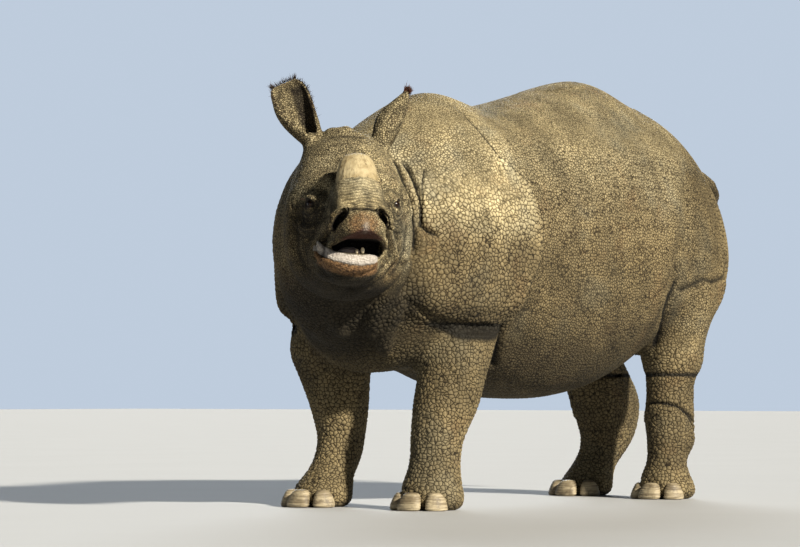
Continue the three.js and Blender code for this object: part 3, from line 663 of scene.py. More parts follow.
# Each crease: path, half width, depth, lip and the lip's width. The lip is to the right of the path's way.
CREASES = [
    # rear edge of the shoulder plate
    ([(0.074, -0.473, 1.584), (0.170, -0.480, 1.506), (0.240, -0.462, 1.436), (0.288, -0.441, 1.375),
      (0.318, -0.386, 1.328), (0.337, -0.341, 1.287), (0.359, -0.310, 1.229), (0.379, -0.290, 1.158),
      (0.387, -0.285, 1.103), (0.398, -0.295, 1.044), (0.401, -0.310, 0.972), (0.403, -0.345, 0.901),
      (0.395, -0.395, 0.831), (0.352, -0.420, 0.759)], 0.0075, 0.009, 0.007, 0.055),
    # neck folds
    ([(0.127, -0.871, 1.352), (0.187, -0.882, 1.291), (0.231, -0.894, 1.231), (0.264, -0.905, 1.169),
      (0.285, -0.932, 1.075), (0.300, -0.915, 1.055), (0.342, -0.854, 1.023)], 0.008, 0.020, 0.010, 0.03),
    ([(0.098, -0.890, 1.371), (0.168, -0.918, 1.288), (0.216, -0.935, 1.207), (0.254, -0.949, 1.125),
      (0.276, -0.961, 1.018), (0.269, -0.965, 0.937)], 0.008, 0.016, 0.0, 0.03),
    ([(0.216, -0.817, 1.312), (0.238, -0.861, 1.253), (0.264, -0.905, 1.169)], 0.006, 0.006, 0.0, 0.03),
    # in front of the thigh
    ([(0.261, 0.879, 1.453), (0.324, 0.807, 1.339), (0.359, 0.735, 1.233), (0.381, 0.679, 1.122),
      (0.388, 0.647, 1.034), (0.387, 0.623, 0.954), (0.378, 0.600, 0.874), (0.362, 0.606, 0.832),
      (0.339, 0.586, 0.756), (0.310, 0.590, 0.700)], 0.028, 0.010, 0.012, 0.09),
    ([(0.371, 0.640, 0.880), (0.368, 0.715, 0.872), (0.371, 0.784, 0.893), (0.363, 0.874, 0.925),
      (0.364, 0.934, 0.915), (0.354, 1.020, 0.930), (0.325, 1.120, 0.965)], 0.012, 0.006, 0.012, 0.06),
    ([(0.335, 0.794, 1.297), (0.360, 0.764, 1.212), (0.379, 0.716, 1.104), (0.383, 0.714, 1.033),
      (0.371, 0.777, 0.980), (0.368, 0.859, 0.948)], 0.018, 0.006, 0.006, 0.05),
    # deep fold between the belly and the thigh
    ([(0.380, 0.668, 0.940), (0.374, 0.650, 0.897), (0.361, 0.632, 0.838), (0.343, 0.624, 0.782),
      (0.307, 0.649, 0.733), (0.247, 0.709, 0.683), (0.212, 0.730, 0.644), (0.178, 0.746, 0.609)],
     0.0125, 0.014, 0.0, 0.05),
    # beside the root of the tail
    ([(0.270, 0.830, 1.415), (0.301, 0.890, 1.372), (0.312, 0.956, 1.325), (0.312, 1.020, 1.280),
      (0.305, 1.080, 1.220)], 0.026, 0.014, 0.0, 0.04),
    # flank behind the foreleg
    ([(0.330, -0.480, 0.720), (0.310, -0.462, 0.690), (0.278, -0.440, 0.645), (0.232, -0.400, 0.590),
      (0.170, -0.345, 0.536)], 0.0128, 0.018, 0.008, 0.05),
    # hind leg rings
    ([(0.120, 0.783, 0.404), (0.146, 0.783, 0.402), (0.227, 0.773, 0.402), (0.273, 0.807, 0.390),
      (0.291, 0.887, 0.345), (0.275, 0.960, 0.300)], 0.006, 0.010, 0.006, 0.03),
    ([(0.262, 0.815, 0.372), (0.284, 0.860, 0.345), (0.288, 0.911, 0.290), (0.262, 0.975, 0.262)],
     0.006, 0.008, 0.004, 0.03),
    # flank wrinkles
    ([(0.293, 0.143, 1.445), (0.323, 0.183, 1.395), (0.346, 0.231, 1.346)], 0.004, 0.003, 0.0, 0.03),
    ([(0.267, 0.295, 1.499), (0.293, 0.351, 1.461)], 0.004, 0.003, 0.0, 0.03),
]


def press_creases(points, quads, dark):
    """Press every crease into the skin on both sides; the neck's folds are on the left only."""
    for path, *sizes in CREASES:
        on_neck = path[0][1] < -0.8
        for side in [path] if on_neck else [path, mirrored(path)[::-1]]:
            crease(points, vertex_normals(points, quads), dark, side, *sizes)


# Ridges and hollows of the face, drawn on it from the front: sideways and height along each, width and push.
FACE_STROKES = [
    ([(0.232, 1.120), (0.212, 1.160), (0.184, 1.190), (0.140, 1.218), (0.098, 1.226)], 0.017, 0.014),
    ([(0.205, 1.128), (0.186, 1.168), (0.150, 1.190), (0.112, 1.192)], 0.012, -0.013),
    ([(0.116, 1.185), (0.106, 1.140), (0.110, 1.095)], 0.014, -0.010),
    ([(0.122, 1.078), (0.152, 1.066), (0.186, 1.076), (0.206, 1.100)], 0.011, -0.008),
    ([(0.130, 1.050), (0.160, 1.038), (0.194, 1.050), (0.216, 1.084)], 0.010, 0.005),
    ([(0.100, 1.020), (0.112, 1.000), (0.124, 0.972), (0.130, 0.940)], 0.008, -0.008),
    ([(0.116, 1.030), (0.132, 1.004), (0.146, 0.970), (0.150, 0.930)], 0.010, 0.006),
    ([(0.130, 1.120), (0.136, 1.075), (0.148, 1.030), (0.166, 0.998), (0.176, 0.960), (0.172, 0.915)],
     0.008, -0.008),
    ([(0.206, 1.090), (0.204, 1.030), (0.200, 0.970), (0.184, 0.910), (0.150, 0.868)], 0.009, -0.009),
    ([(0.222, 1.060), (0.222, 1.000), (0.214, 0.940)], 0.012, 0.006),
    ([(0.150, 0.905), (0.118, 0.860), (0.070, 0.832), (0.0, 0.820)], 0.011, -0.012),
    ([(0.060, 1.392), (0.020, 1.398), (0.0, 1.399)], 0.014, -0.004),
    ([(0.060, 1.415), (0.020, 1.422), (0.0, 1.422)], 0.012, 0.006),
    ([(0.066, 1.086), (0.046, 1.100), (0.022, 1.107), (0.0, 1.102)], 0.0075, -0.012),
    ([(0.050, 1.078), (0.026, 1.088), (0.0, 1.088)], 0.009, 0.005),
]
# The fold of the left jaw runs down under the chin.
JAW_FOLD = [
    ([(0.150, 0.945), (0.128, 0.920), (0.085, 0.872), (0.035, 0.828), (-0.015, 0.798)], 0.011, 0.011),
    ([(0.118, 0.925), (0.098, 0.900), (0.055, 0.858), (0.008, 0.820), (-0.030, 0.800)], 0.009, -0.012),
]


def path_gap(u, v, path):
    """Distance of flat points to a path."""
    best = np.full(len(u), 9.0)
    for a, b in zip(path[:-1], path[1:]):
        d = (b[0] - a[0], b[1] - a[1])
        t = np.clip(((u - a[0]) * d[0] + (v - a[1]) * d[1]) / (d[0] ** 2 + d[1] ** 2), 0, 1)
        best = np.minimum(best, np.hypot(u - a[0] - t * d[0], v - a[1] - t * d[1]))
    return best


def face_folds(s, z, facing):
    """How far the drawn folds push the face out, and how much painted shade their hollows get."""
    push = np.zeros(len(s))
    shade = np.zeros(len(s))
    strokes = [(s * sign, *stroke) for stroke in FACE_STROKES for sign in (1, -1)]
    strokes += [(s, *stroke) for stroke in JAW_FOLD]
    for across, path, width, size in strokes:
        gap = path_gap(across, z, path)
        push += 1.2 * size * bell(gap, 0, width) * facing
        # painted shade in the hollow folds
        if size < 0:
            deepest = 1.0 if width < 0.008 else 0.60
            shade = np.maximum(shade, deepest * bell(gap, 0, 0.0055) * facing)
    return push, shade


def face_lines(points, s, f, z):
    """Depth of the fine lines: the seam of the lower lip, and wrinkles over the nose and round the eyes."""
    depth = 0.004 * bell(path_gap(s, z, LIP_LINE[1:-1]), 0, 0.0032) * ramp(f, 0.07, 0.10)
    over_nose = ramp(f, 0.12, 0.16) * below(np.abs(s - 0.005), 0.070, 0.10) * ramp(z, 1.085, 1.10)
    for height in (1.158, 1.144, 1.129, 1.116, 1.104):
        waves = np.sin(s * (52 + 300 * (height - 1.1)) + height * 400)
        bend = height - 0.16 * np.abs(s - 0.008) + 0.0035 * waves
        broken = 0.6 + 0.4 * np.sin(s * 90 + height * 900)
        depth += 0.0042 * broken * bell(z, bend, 0.0034) * over_nose
    for eye, sign in EYE_SIDES:
        away = np.linalg.norm(points - eye, axis=1)
        outside = ramp(s * sign, 0.08, 0.11)
        under = 1 - 0.6 * ramp(z - eye[2], 0.0, 0.03)
        for k, radius in enumerate((0.046, 0.059, 0.073, 0.089, 0.107, 0.127)):
            bend = radius + 0.0035 * np.sin(z * 75 + 2 * k)
            depth += (0.0052 - 0.0004 * k) * bell(away, bend, 0.0040) * outside * under
    return depth


def press_face(points, quads, dark):
    """Press folds and fine lines into the face, and note where they get painted shade."""
    normals = vertex_normals(points, quads)
    s, f, z = head_place(points)
    face = np.nonzero((f > -0.30) & (z > 0.76) & (np.abs(s) < 0.30))[0]
    s, f, z, n = s[face], f[face], z[face], normals[face]
    push, shade = face_folds(s, z, ramp(n @ AHEAD, -0.1, 0.35))
    push *= ramp(np.hypot(s - HORN_S, (f - HORN_F) / 1.1), 0.085, 0.105)
    points[face] += n * push[:, None]
    depth = face_lines(points[face], s, f, z)
    points[face] -= n * depth[:, None]
    # painted shade in the fine lines, by their depth
    shade = np.maximum(shade, np.clip(depth / 0.0060, 0, 0.72))
    dark[face] = np.maximum(dark[face], shade)


points, quads = whole_skin()
on_head = ramp(head_place(points)[1], -0.25, -0.12)
points = relaxed(points, quads, 6, 0.15 + 0.85 * (1 - on_head))
# painted shade of the creases and folds, noted as they are pressed
dark = np.zeros(len(points))
press_creases(points, quads, dark)
press_face(points, quads, dark)


# ---------------------------------------------------------------- where each kind of hide lies

def head_share(f, z):
    """1 on the head, 0 on the neck and body."""
    return ramp(f, -0.34, -0.24) * ramp(z, 0.78, 0.84)


def hide_masks(points):
    """How much of each kind of pebble grows where."""
    x, y, z = points.T
    s, f, _ = head_place(points)
    head = head_share(f, z)
    ear = ramp(z, 1.37, 1.42) * bell(f, -0.266, 0.10) * ramp(np.abs(s), 0.07, 0.10)
    head = np.maximum(head, ear)
    leg = below(z, 0.60, 0.72)
    belly = ramp(y, -0.45, -0.3) * below(y, 0.6, 0.75) * ramp(z, 0.40, 0.46)
    leg = leg * (1 - belly)
    back = ramp(z, 1.38, 1.60)
    shoulder = ramp(y, -1.20, -1.10) * below(y, -0.34, -0.24)
    shoulder *= below(z, 1.14, 1.36) * ramp(z, 0.64, 0.70)
    rear = ramp(y, 0.84, 1.14) * below(z, 1.26, 1.42) * ramp(z, 0.72, 0.84)
    # along the rear edge of the shoulder plate, the large pebbles end in a belt
    edge = np.interp(z, [0.72, 0.83, 0.90, 0.97, 1.04, 1.16, 1.23, 1.29, 1.33, 1.38],
                     [-0.42, -0.395, -0.345, -0.310, -0.295, -0.290, -0.310, -0.341, -0.386, -0.441])
    ahead = edge - y
    side = ramp(np.abs(x - MID_X), 0.26, 0.34)
    shoulder *= 1 - ramp(-ahead, -0.004, 0.010) * side
    belt = ramp(ahead, -0.004, 0.006) * below(ahead, 0.07, 0.13) * side
    belt *= ramp(z, 0.70, 0.78) * below(z, 1.34, 1.44)
    shoulder = np.maximum(shoulder, belt) * (1 + 0.45 * belt)
    large = np.clip(shoulder + rear, 0, 1.45) * (1 - head)
    rest = np.clip(1 - large, 0, 1)
    plates = leg * rest
    fine = np.clip(head + back, 0, 1) * (1 - plates) * rest
    dots = np.clip(1 - large - plates - fine, 0, 1)
    return {"large": large, "plates": plates * 1.1, "fine": fine, "dots": dots, "head": head}


def lip_height(s):
    """Height of the line between the lower lip's dark rim and its pale inside."""
    return np.interp(s, [p[0] for p in LIP_LINE], [p[1] for p in LIP_LINE])


def face_tone_and_shade(s, f, z):
    """How light the face is: lighter on the nose, and painted shade on the chin, the right cheek, the far
    side of the beak and under the lip.
    """
    # painted shade under the chin
    chin = ramp(f, -0.14, -0.02) * below(z, 0.850, 0.890)
    chin *= ramp(0.10 - s + 0.9 * (z - 0.90), -0.02, 0.01)
    nose = bell(s, HORN_S, 0.048) * ramp(f, 0.06, 0.12) * ramp(z, 1.10, 1.13)
    # painted shade on the right cheek and the far side of the beak, which turn away from the light
    far_cheek = ramp(-s, 0.070, 0.150) * below(z, 1.10, 1.20)
    far_beak = ramp(-s, -0.015, 0.025) * ramp(f, 0.17, 0.22) * below(z, 1.075, 1.10) * ramp(z, 0.97, 0.99)
    # painted shadow under the overhanging lower lip
    under_lip = bell(z, lip_height(s) - 0.064, 0.024) * ramp(f, 0.02, 0.07)
    under_lip *= below(np.abs(s + 0.035), 0.085, 0.125)
    face = (1.12 + 0.30 * nose) * (1 - 0.80 * chin) * (1 - 0.58 * far_cheek) * (1 - 0.5 * far_beak)
    return face * (1 - 0.90 * under_lip)


def hide_tone_and_shade(points, normals):
    """How light the hide is: darker low down, lighter up the back and on the shoulder plate, darker on the
    rump, with painted shade under the thigh folds, on faces that look down and on the throat under the head.
    """
    x, y, z = points.T
    s, f, _ = head_place(points)
    heights = [0.0, 0.3, 0.5, 0.7, 1.0, 1.2, 1.4, 1.6]
    light = np.interp(z, heights, [0.54, 0.50, 0.42, 0.42, 0.50, 0.66, 0.90, 1.05])
    plate = ramp(y, -0.98, -0.90) * below(y, -0.44, -0.28) * ramp(z, 0.98, 1.18)
    light = light * (1 - plate) + 1.22 * plate
    light *= 1 - 0.20 * ramp(y, 0.78, 1.05) * ramp(z, 0.92, 1.02) * below(z, 1.50, 1.65)
    light *= 1 - 0.50 * ramp(y, 0.70, 0.95) * bell(z, 1.31, 0.11)
    # painted shade on the lower hind legs, below the fold round each thigh
    light *= 1 - 0.25 * ramp(y, 0.55, 0.75) * below(z, 0.45, 0.56) * ramp(z, 0.10, 0.16)
    light *= 1 + 0.55 * ramp(y, 0.60, 0.80) * bell(z, 0.72, 0.12)
    # the tail's end darker: its own browner tone, and painted shade that parts it from the rump
    tail = ramp(y, 1.44, 1.52) * below(np.abs(x - MID_X), 0.05, 0.08) * below(z, 1.36, 1.40)
    light *= 1 - 0.45 * tail
    head = ramp(f, -0.30, -0.20) * ramp(z, 0.80, 0.90)
    light = light * (1 - head) + face_tone_and_shade(s, f, z) * head
    # painted shade on faces that look down
    light *= 1 - 0.50 * ramp(-normals[:, 2], 0.15, 0.65)
    # painted shadow on the throat and chest under the head
    throat = below(y, -0.98, -0.84) * below(z, 0.78, 0.95) * ramp(z, 0.46, 0.62)
    return light * (1 - 0.78 * throat)


def rim_shade(points, dark):
    """Note painted shade in the undercuts of the shoulder plate and of the thigh."""
    for rim in (SHIELD_RIM, mirrored(SHIELD_RIM)):
        inside = (points > np.min(rim, 0) - 0.06) & (points < np.max(rim, 0) + 0.06)
        near = np.nonzero(np.all(inside, axis=1))[0]
        gap = chain(*points[near].T, rim, SHIELD_RIM_RADII)
        low = below(points[near, 2], 0.705, 0.725)
        dark[near] = np.maximum(dark[near], below(gap, 0.006, 0.046) * low)
    for (x, y), (wide, long) in THIGH_RINGS:
        near = np.nonzero(np.abs(points[:, 2] - RING_HEIGHT) < 0.03)[0]
        flat = np.hypot((points[near, 0] - x) / wide, (points[near, 1] - y) / long)
        mark = bell(points[near, 2], RING_HEIGHT, 0.007) * (np.abs(flat - 1) < 0.4)
        dark[near] = np.maximum(dark[near], mark)


def ear_hollow(name, points):
    """The shaded side of an ear's hollow: near the wall that lies towards the middle of the head."""
    made = EAR_SETTINGS[name]
    up, front, across, out = ear_axes(made)
    if np.dot(across, out) > 0:
        across = -across
    offset = points - head_point(*made["root"])
    t = offset @ up / made["length"]
    rows = np.array(EAR_ROWS[name], float)
    wide = np.interp(t, rows[:, 0], rows[:, 1])
    deep = np.interp(t, rows[:, 0], rows[:, 2])
    wall = np.interp(t, rows[:, 0], rows[:, 4])
    offset = offset - out * np.interp(t, rows[:, 0], rows[:, 5])[:, None]
    a = offset @ across / (wide - 0.35 * wall)
    b = offset @ front / (deep - 0.35 * wall)
    inside = below(np.hypot(a, b), 0.93, 1.0)
    return inside * ramp(a, 0.10, 0.45) * ramp(t, 0.02, 0.12) * below(t, 0.86, 0.97)


def hollow_mask(points, gullet):
    """Painted shade in the deep places of the face: mouth, nostrils, round the eyes, and the right ear's
    hollow.
    """
    s, f, z = head_place(points)
    holes = gullet
    for path in NOSTRILS:
        for back in (0.0, 0.014, 0.028, 0.056):
            deep = [(p[0], p[1] - back, p[2]) for p in path]
            holes = np.maximum(holes, below(chain(s, f, z, deep, NOSTRIL_RADII), 0.0005, 0.0045))
    # painted shade round each eye
    for eye, _ in EYE_SIDES:
        away = np.linalg.norm(points - eye, axis=1)
        holes = np.maximum(holes, 0.92 * below(away, 0.026, 0.037))
    return np.maximum(holes, 0.85 * ear_hollow("ear_right", points))


def face_masks(points):
    """Where the face is pale pink, rusty or dark red, and where its holes get painted shade, from its lips
    and holes.
    """
    s, f, z = head_place(points)
    inner_gap = chain(s, f, z, INNER_LIP, INNER_LIP_RADII)
    outer_gap = chain(s, f, z, LOWER_LIP, LOWER_LIP_RADII)
    lip = below(np.minimum(inner_gap, outer_gap), 0.022, 0.034)
    lip *= ramp(s, -0.162, -0.150) * below(s, 0.070, 0.080) * ramp(f, 0.05, 0.08)
    rise = z - lip_height(s)
    tall = np.interp(s, [-0.145, -0.110, -0.080], [0.046, 0.036, 0.034])
    inner = lip * ramp(rise, -0.001, 0.003) * below(rise, tall, tall + 0.006)
    outer = lip * below(rise, -0.001, 0.003) * ramp(rise, -0.044, -0.032)
    tip = 0.45 * bell(s, 0.010, 0.007) * bell(z, 1.034, 0.014) * ramp(f, 0.24, 0.27)
    beak = below(np.hypot((s - 0.006) / 0.062, (z - 1.040) / 0.056), 0.55, 1.10) * ramp(f, 0.20, 0.25)
    roof = np.interp(s, [p[0] for p in UPPER_LIP], [p[2] for p in UPPER_LIP])
    under = below(np.abs(s), 0.085, 0.105) * ramp(z, 0.985, 0.995) * below(z - roof, -0.010, 0.000)
    # painted shade inside the mouth
    inside = below(np.abs(s), 0.088, 0.100) * ramp(z, 0.928, 0.940) * below(z, 1.000, 1.020)
    gullet = inside * below(f, 0.16, 0.23) * ramp(f, -0.04, 0.0) * (1 - inner)
    return {
        "pale_lip": np.clip(inner + 0.85 * tip, 0, 1),
        "rust": np.clip(np.maximum(outer, 0.75 * beak), 0, 1) * (1 - gullet),
        "red": under * ramp(f, 0.14, 0.18) * (1 - 0.7 * tip),
        # hollow: painted shade in the mouth, nostrils, round the eyes and in the right ear
        "hollow": np.clip(hollow_mask(points, gullet), 0, 1),
    }


def nose_bridge(s, f, z):
    """The wrinkled saddle between the horn and the beak."""
    across = below(np.abs(s - 0.006), 0.075, 0.125)
    return across * ramp(f, 0.09, 0.13) * ramp(z, 1.085, 1.10) * below(z, 1.225, 1.26)


def wrinkle_fields(points):
    """A smooth field whose levels the fine wrinkles follow, and how much they show."""
    s, f, z = head_place(points)
    away = np.min([np.linalg.norm(points - eye, axis=1) for eye, _ in EYE_SIDES], axis=0)
    mouth = np.sqrt((np.abs(s) - 0.02) ** 2 + (f - 0.16) ** 2 + (z - 0.985) ** 2)
    head = head_share(f, z)
    near_eye = below(away, 0.10, 0.17)
    field = away * near_eye + mouth * (1 - near_eye)
    nose = nose_bridge(s, f, z)
    field = field * (1 - nose) + (1.05 * z + 0.17 * np.abs(s - 0.008)) * nose
    leg = below(z, 0.60, 0.70) * (1 - head)
    joint = bell(z, 0.205, 0.035) + 0.7 * bell(z, 0.47, 0.05)
    field = field * head + z * (1 - head)
    share = head * 0.9 + leg * np.clip(0.15 + joint, 0, 1) * 0.8
    return field, np.clip(share, 0, 1)


def skin_piece():
    """The skin with everything stored on it that its pebbles and its material read."""
    rim_shade(points, dark)
    obj = mesh_object("skin", points, quads)
    field, share = wrinkle_fields(points)
    values = {**hide_masks(points), **face_masks(points)}
    # crease holds the painted shade of the creases and folds
    values |= {"crease": np.clip(dark, 0, 1), "field": field, "wrinkled": share}
    values["nose"] = nose_bridge(*head_place(points))
    values["light"] = hide_tone_and_shade(points, vertex_normals(points, quads))
    for name, numbers in values.items():
        store(obj.data, name, numbers)
    store_place(obj.data)
    return obj


# Kinds of pebble: how many to a metre, how high in metres, and how many cells from its edge each is palest.
PEBBLES = {
    "large": (58.0, 0.0042, 0.26),
    "dots": (84.0, 0.0016, 0.34),
    "plates": (64.0, 0.0030, 0.22),
    "fine": (118.0, 0.0010, 0.40),
}
DOME = 0.28  # how far from the edge a pebble is highest, in cells
UNEVEN = 0.85  # how far the cells stray from a regular grid


def pebbled(obj):
    """Raise the tubercles of the hide with Geometry Nodes, by the same cells that the material shades."""
    tree = bpy.data.node_groups.new("pebbles", "GeometryNodeTree")
    tree.interface.new_socket("Geometry", in_out="INPUT", socket_type="NodeSocketGeometry")
    tree.interface.new_socket("Geometry", in_out="OUTPUT", socket_type="NodeSocketGeometry")

    def node(kind, inputs, **settings):
        """A node with its settings, and its inputs linked or set."""
        made = tree.nodes.new(kind)
        for name, value in settings.items():
            setattr(made, name, value)
        for name, value in inputs.items():
            if isinstance(value, bpy.types.NodeSocket):
                tree.links.new(value, made.inputs[name])
            else:
                made.inputs[name].default_value = value
        return made

    start = node("NodeGroupInput", {})
    place = node("GeometryNodeInputNamedAttribute", {"Name": "rest"}, data_type="FLOAT_VECTOR")
    total = 0.0
    for kind, (scale, height, _) in PEBBLES.items():
        where = {"Vector": place.outputs["Attribute"], "Scale": scale, "Randomness": UNEVEN}
        cells = node("ShaderNodeTexVoronoi", where, feature="DISTANCE_TO_EDGE")
        rise = {"Value": cells.outputs["Distance"], "From Max": DOME, "To Max": height}
        shape = node("ShaderNodeMapRange", rise, interpolation_type="SMOOTHSTEP")
        share = node("GeometryNodeInputNamedAttribute", {"Name": kind}, data_type="FLOAT")
        product = {0: shape.outputs["Result"], 1: share.outputs["Attribute"], 2: total}
        total = node("ShaderNodeMath", product, operation="MULTIPLY_ADD").outputs[0]
    normal = node("GeometryNodeInputNormal", {})
    push = node("ShaderNodeVectorMath", {0: normal.outputs["Normal"], "Scale": total}, operation="SCALE")
    move = node("GeometryNodeSetPosition", {"Geometry": start.outputs[0], "Offset": push.outputs["Vector"]})
    node("NodeGroupOutput", {0: move.outputs["Geometry"]})
    modifier = obj.modifiers.new("pebbles", "NODES")
    modifier.node_group = tree
    graph = bpy.context.evaluated_depsgraph_get()
    shaped = obj.evaluated_get(graph)
    mesh = bpy.data.meshes.new_from_object(shaped, preserve_all_data_layers=True, depsgraph=graph)
    obj.modifiers.remove(modifier)
    old = obj.data
    obj.data = mesh
    bpy.data.meshes.remove(old)


skin = skin_piece()
pebbled(skin)


# ---------------------------------------------------------------- materials

class Shader:
    """A material with a Principled shader, and short ways to add nodes to it; patterns follow its place."""

    def __init__(self, name, roughness=0.8):
        self.material = bpy.data.materials.new(name)
        self.material.use_nodes = True
        self.tree = self.material.node_tree
        self.main = self.tree.nodes["Principled BSDF"]
        self.main.inputs["Roughness"].default_value = roughness
        self.place = self.attribute("rest", "Vector")

    def put(self, value, socket):
        """Link a socket's value, or set a plain number or colour."""
        if isinstance(value, bpy.types.NodeSocket):
            self.tree.links.new(value, socket)
        elif isinstance(value, tuple) and len(value) == 3 and socket.type == "RGBA":
            socket.default_value = (*value, 1)
        else:
            socket.default_value = value

    def attribute(self, name, output="Fac"):
        """A number stored on the mesh, or with the output "Vector" a place."""
        node = self.tree.nodes.new("ShaderNodeAttribute")
        node.attribute_name = name
        return node.outputs[output]

    def math(self, operation, a, b=0.0):
        node = self.tree.nodes.new("ShaderNodeMath")
        node.operation = operation
        self.put(a, node.inputs[0])
        self.put(b, node.inputs[1])
        return node.outputs[0]

    def plus(self, *values):
        total = values[0]
        for value in values[1:]:
            total = self.math("ADD", total, value)
        return total

    def times(self, a, b):
        return self.math("MULTIPLY", a, b)

    def span(self, value, low, high, to_low=0.0, to_high=1.0):
        """The value's way from low to high, smoothly turned into the way from to_low to to_high."""
        node = self.tree.nodes.new("ShaderNodeMapRange")
        node.interpolation_type = "SMOOTHSTEP"
        self.put(value, node.inputs["Value"])
        self.put(low, node.inputs["From Min"])
        self.put(high, node.inputs["From Max"])
        self.put(to_low, node.inputs["To Min"])
        self.put(to_high, node.inputs["To Max"])
        return node.outputs["Result"]

    def mix(self, share, a, b, kind="MIX"):
        """Colour a with this share of colour b."""
        node = self.tree.nodes.new("ShaderNodeMix")
        node.data_type = "RGBA"
        node.blend_type = kind
        self.put(share, node.inputs["Factor"])
        self.put(a, node.inputs["A"])
        self.put(b, node.inputs["B"])
        return node.outputs["Result"]

    def noise(self, scale, detail=3.0, rough=0.5, stretch=None):
        """Noise from 0 to 1, with scale features to a metre; a small stretch draws it out along that axis."""
        place = self.place
        if stretch is not None:
            mapping = self.tree.nodes.new("ShaderNodeMapping")
            mapping.inputs["Scale"].default_value = stretch
            self.put(place, mapping.inputs["Vector"])
            place = mapping.outputs["Vector"]
        node = self.tree.nodes.new("ShaderNodeTexNoise")
        self.put(place, node.inputs["Vector"])
        node.inputs["Scale"].default_value = scale
        node.inputs["Detail"].default_value = detail
        node.inputs["Roughness"].default_value = rough
        return node.outputs["Fac"]

    def cells(self, scale, feature="F1"):
        """Voronoi cells, scale to a metre."""
        node = self.tree.nodes.new("ShaderNodeTexVoronoi")
        node.feature = feature
        self.put(self.place, node.inputs["Vector"])
        node.inputs["Scale"].default_value = scale
        node.inputs["Randomness"].default_value = UNEVEN
        return node

    def paint(self, colour):
        self.put(colour, self.main.inputs["Base Color"])

    def shine(self, level):
        self.main.inputs["Specular IOR Level"].default_value = level

    def bump(self, height, strength=1.0):
        """Relief of a height in metres."""
        node = self.tree.nodes.new("ShaderNodeBump")
        node.inputs["Strength"].default_value = strength
        node.inputs["Distance"].default_value = 1.0
        self.put(height, node.inputs["Height"])
        self.tree.links.new(node.outputs["Normal"], self.main.inputs["Normal"])


# Colours of the hide, from the gaps between pebbles to their tops.
GAP = (0.030, 0.022, 0.011)
GAP_DUSTY = (0.090, 0.073, 0.039)
MIDDLE = (0.190, 0.148, 0.072)
MIDDLE_PALE = (0.250, 0.203, 0.108)
TOP = (0.345, 0.283, 0.155)
TOP_PALE = (0.465, 0.398, 0.238)


def pebble_tone(m):
    """0 in the gaps between pebbles, 1 on their tops."""
    parts = []
    for kind, (scale, _, reach) in PEBBLES.items():
        edge = m.cells(scale, "DISTANCE_TO_EDGE").outputs["Distance"]
        foot = m.span(edge, 0.0, 0.36 * reach, 0.0, 0.62)
        top = m.span(edge, 0.2 * reach, reach, 0.0, 0.38)
        parts.append(m.times(m.attribute(kind), m.plus(foot, top)))
    return m.plus(*parts)


def pebble_colour(m, tone, light, head):
    """Dark gaps, brown sides and pale tops, with cool and rusty patches."""
    large_tint = m.cells(PEBBLES["large"][0]).outputs["Color"]
    plate_tint = m.cells(PEBBLES["plates"][0]).outputs["Color"]
    tint = m.mix(m.attribute("plates"), large_tint, plate_tint)
    patches = m.noise(7.0, 4.0, 0.6)
    gap_colour = m.mix(m.span(light, 0.70, 1.25, 0.0, 0.8), GAP, GAP_DUSTY)
    gap_colour = m.mix(m.times(head, 0.8), gap_colour, GAP)
    middle_colour = m.mix(m.noise(2.2, 4.0, 0.55), MIDDLE, MIDDLE_PALE)
    top_colour = m.mix(m.times(patches, m.span(tint, 0.0, 1.0, 0.5, 1.5)), TOP, TOP_PALE)
    colour = m.mix(m.span(tone, 0.06, 0.60), gap_colour, middle_colour)
    colour = m.mix(m.span(tone, 0.45, 1.0, 0.0, 0.9), colour, top_colour)
    cool = m.span(m.noise(3.1, 3.0, 0.6), 0.50, 0.68, 0.0, 0.55)
    colour = m.mix(cool, colour, m.mix(tone, (0.036, 0.036, 0.028), (0.235, 0.228, 0.168)))
    rusty = m.span(m.noise(5.3, 4.0, 0.65), 0.56, 0.72, 0.0, 0.40)
    return m.mix(rusty, colour, m.mix(tone, (0.070, 0.038, 0.016), (0.350, 0.235, 0.115)))


def dusted_and_shaded(m, colour, light, head):
    """The colour under dusty, muddy soft patches and streaks that run down the body, times the stored light,
    which also carries painted shade.
    """
    blotch = m.span(m.noise(6.0, 4.0, 0.6), 0.32, 0.66, 0.78, 1.16)
    streak = m.span(m.noise(8.0, 4.0, 0.6, (1.0, 1.0, 0.22)), 0.36, 0.64, 0.82, 1.16)
    darkest = m.span(head, 0.0, 1.0, 0.86, 0.55)
    lightest = m.span(head, 0.0, 1.0, 1.08, 1.24)
    speckle = m.span(m.noise(44.0, 4.0, 0.7), 0.34, 0.62, darkest, lightest)
    # the stored light carries painted shade as well as the hide's lighter and darker parts
    shade = m.times(m.times(light, blotch), m.times(streak, speckle))
    colour = m.mix(1.0, colour, shade, "MULTIPLY")
    warmth = m.mix(m.span(light, 0.45, 0.90), (1.0, 0.91, 0.78), (1.0, 0.985, 0.97))
    return m.mix(1.0, colour, warmth, "MULTIPLY")


def wrinkle_line(m, nose):
    """1 on smooth hide and 0 in its fine wrinkles, which follow the stored field."""
    wave = m.plus(m.times(m.attribute("field"), 300.0), m.times(m.noise(14.0, 3.0), 9.0))
    line = m.math("POWER", m.math("ABSOLUTE", m.math("SINE", wave)), 0.45)
    wrinkled = m.times(m.attribute("wrinkled"), m.span(m.noise(20.0, 2.0), 0.32, 0.60))
    on_nose = m.times(nose, m.span(m.noise(26.0, 2.0), 0.22, 0.42))
    wrinkled = m.math("MAXIMUM", wrinkled, on_nose)
    return m.math("SUBTRACT", 1.0, m.times(wrinkled, m.math("SUBTRACT", 1.0, line)))


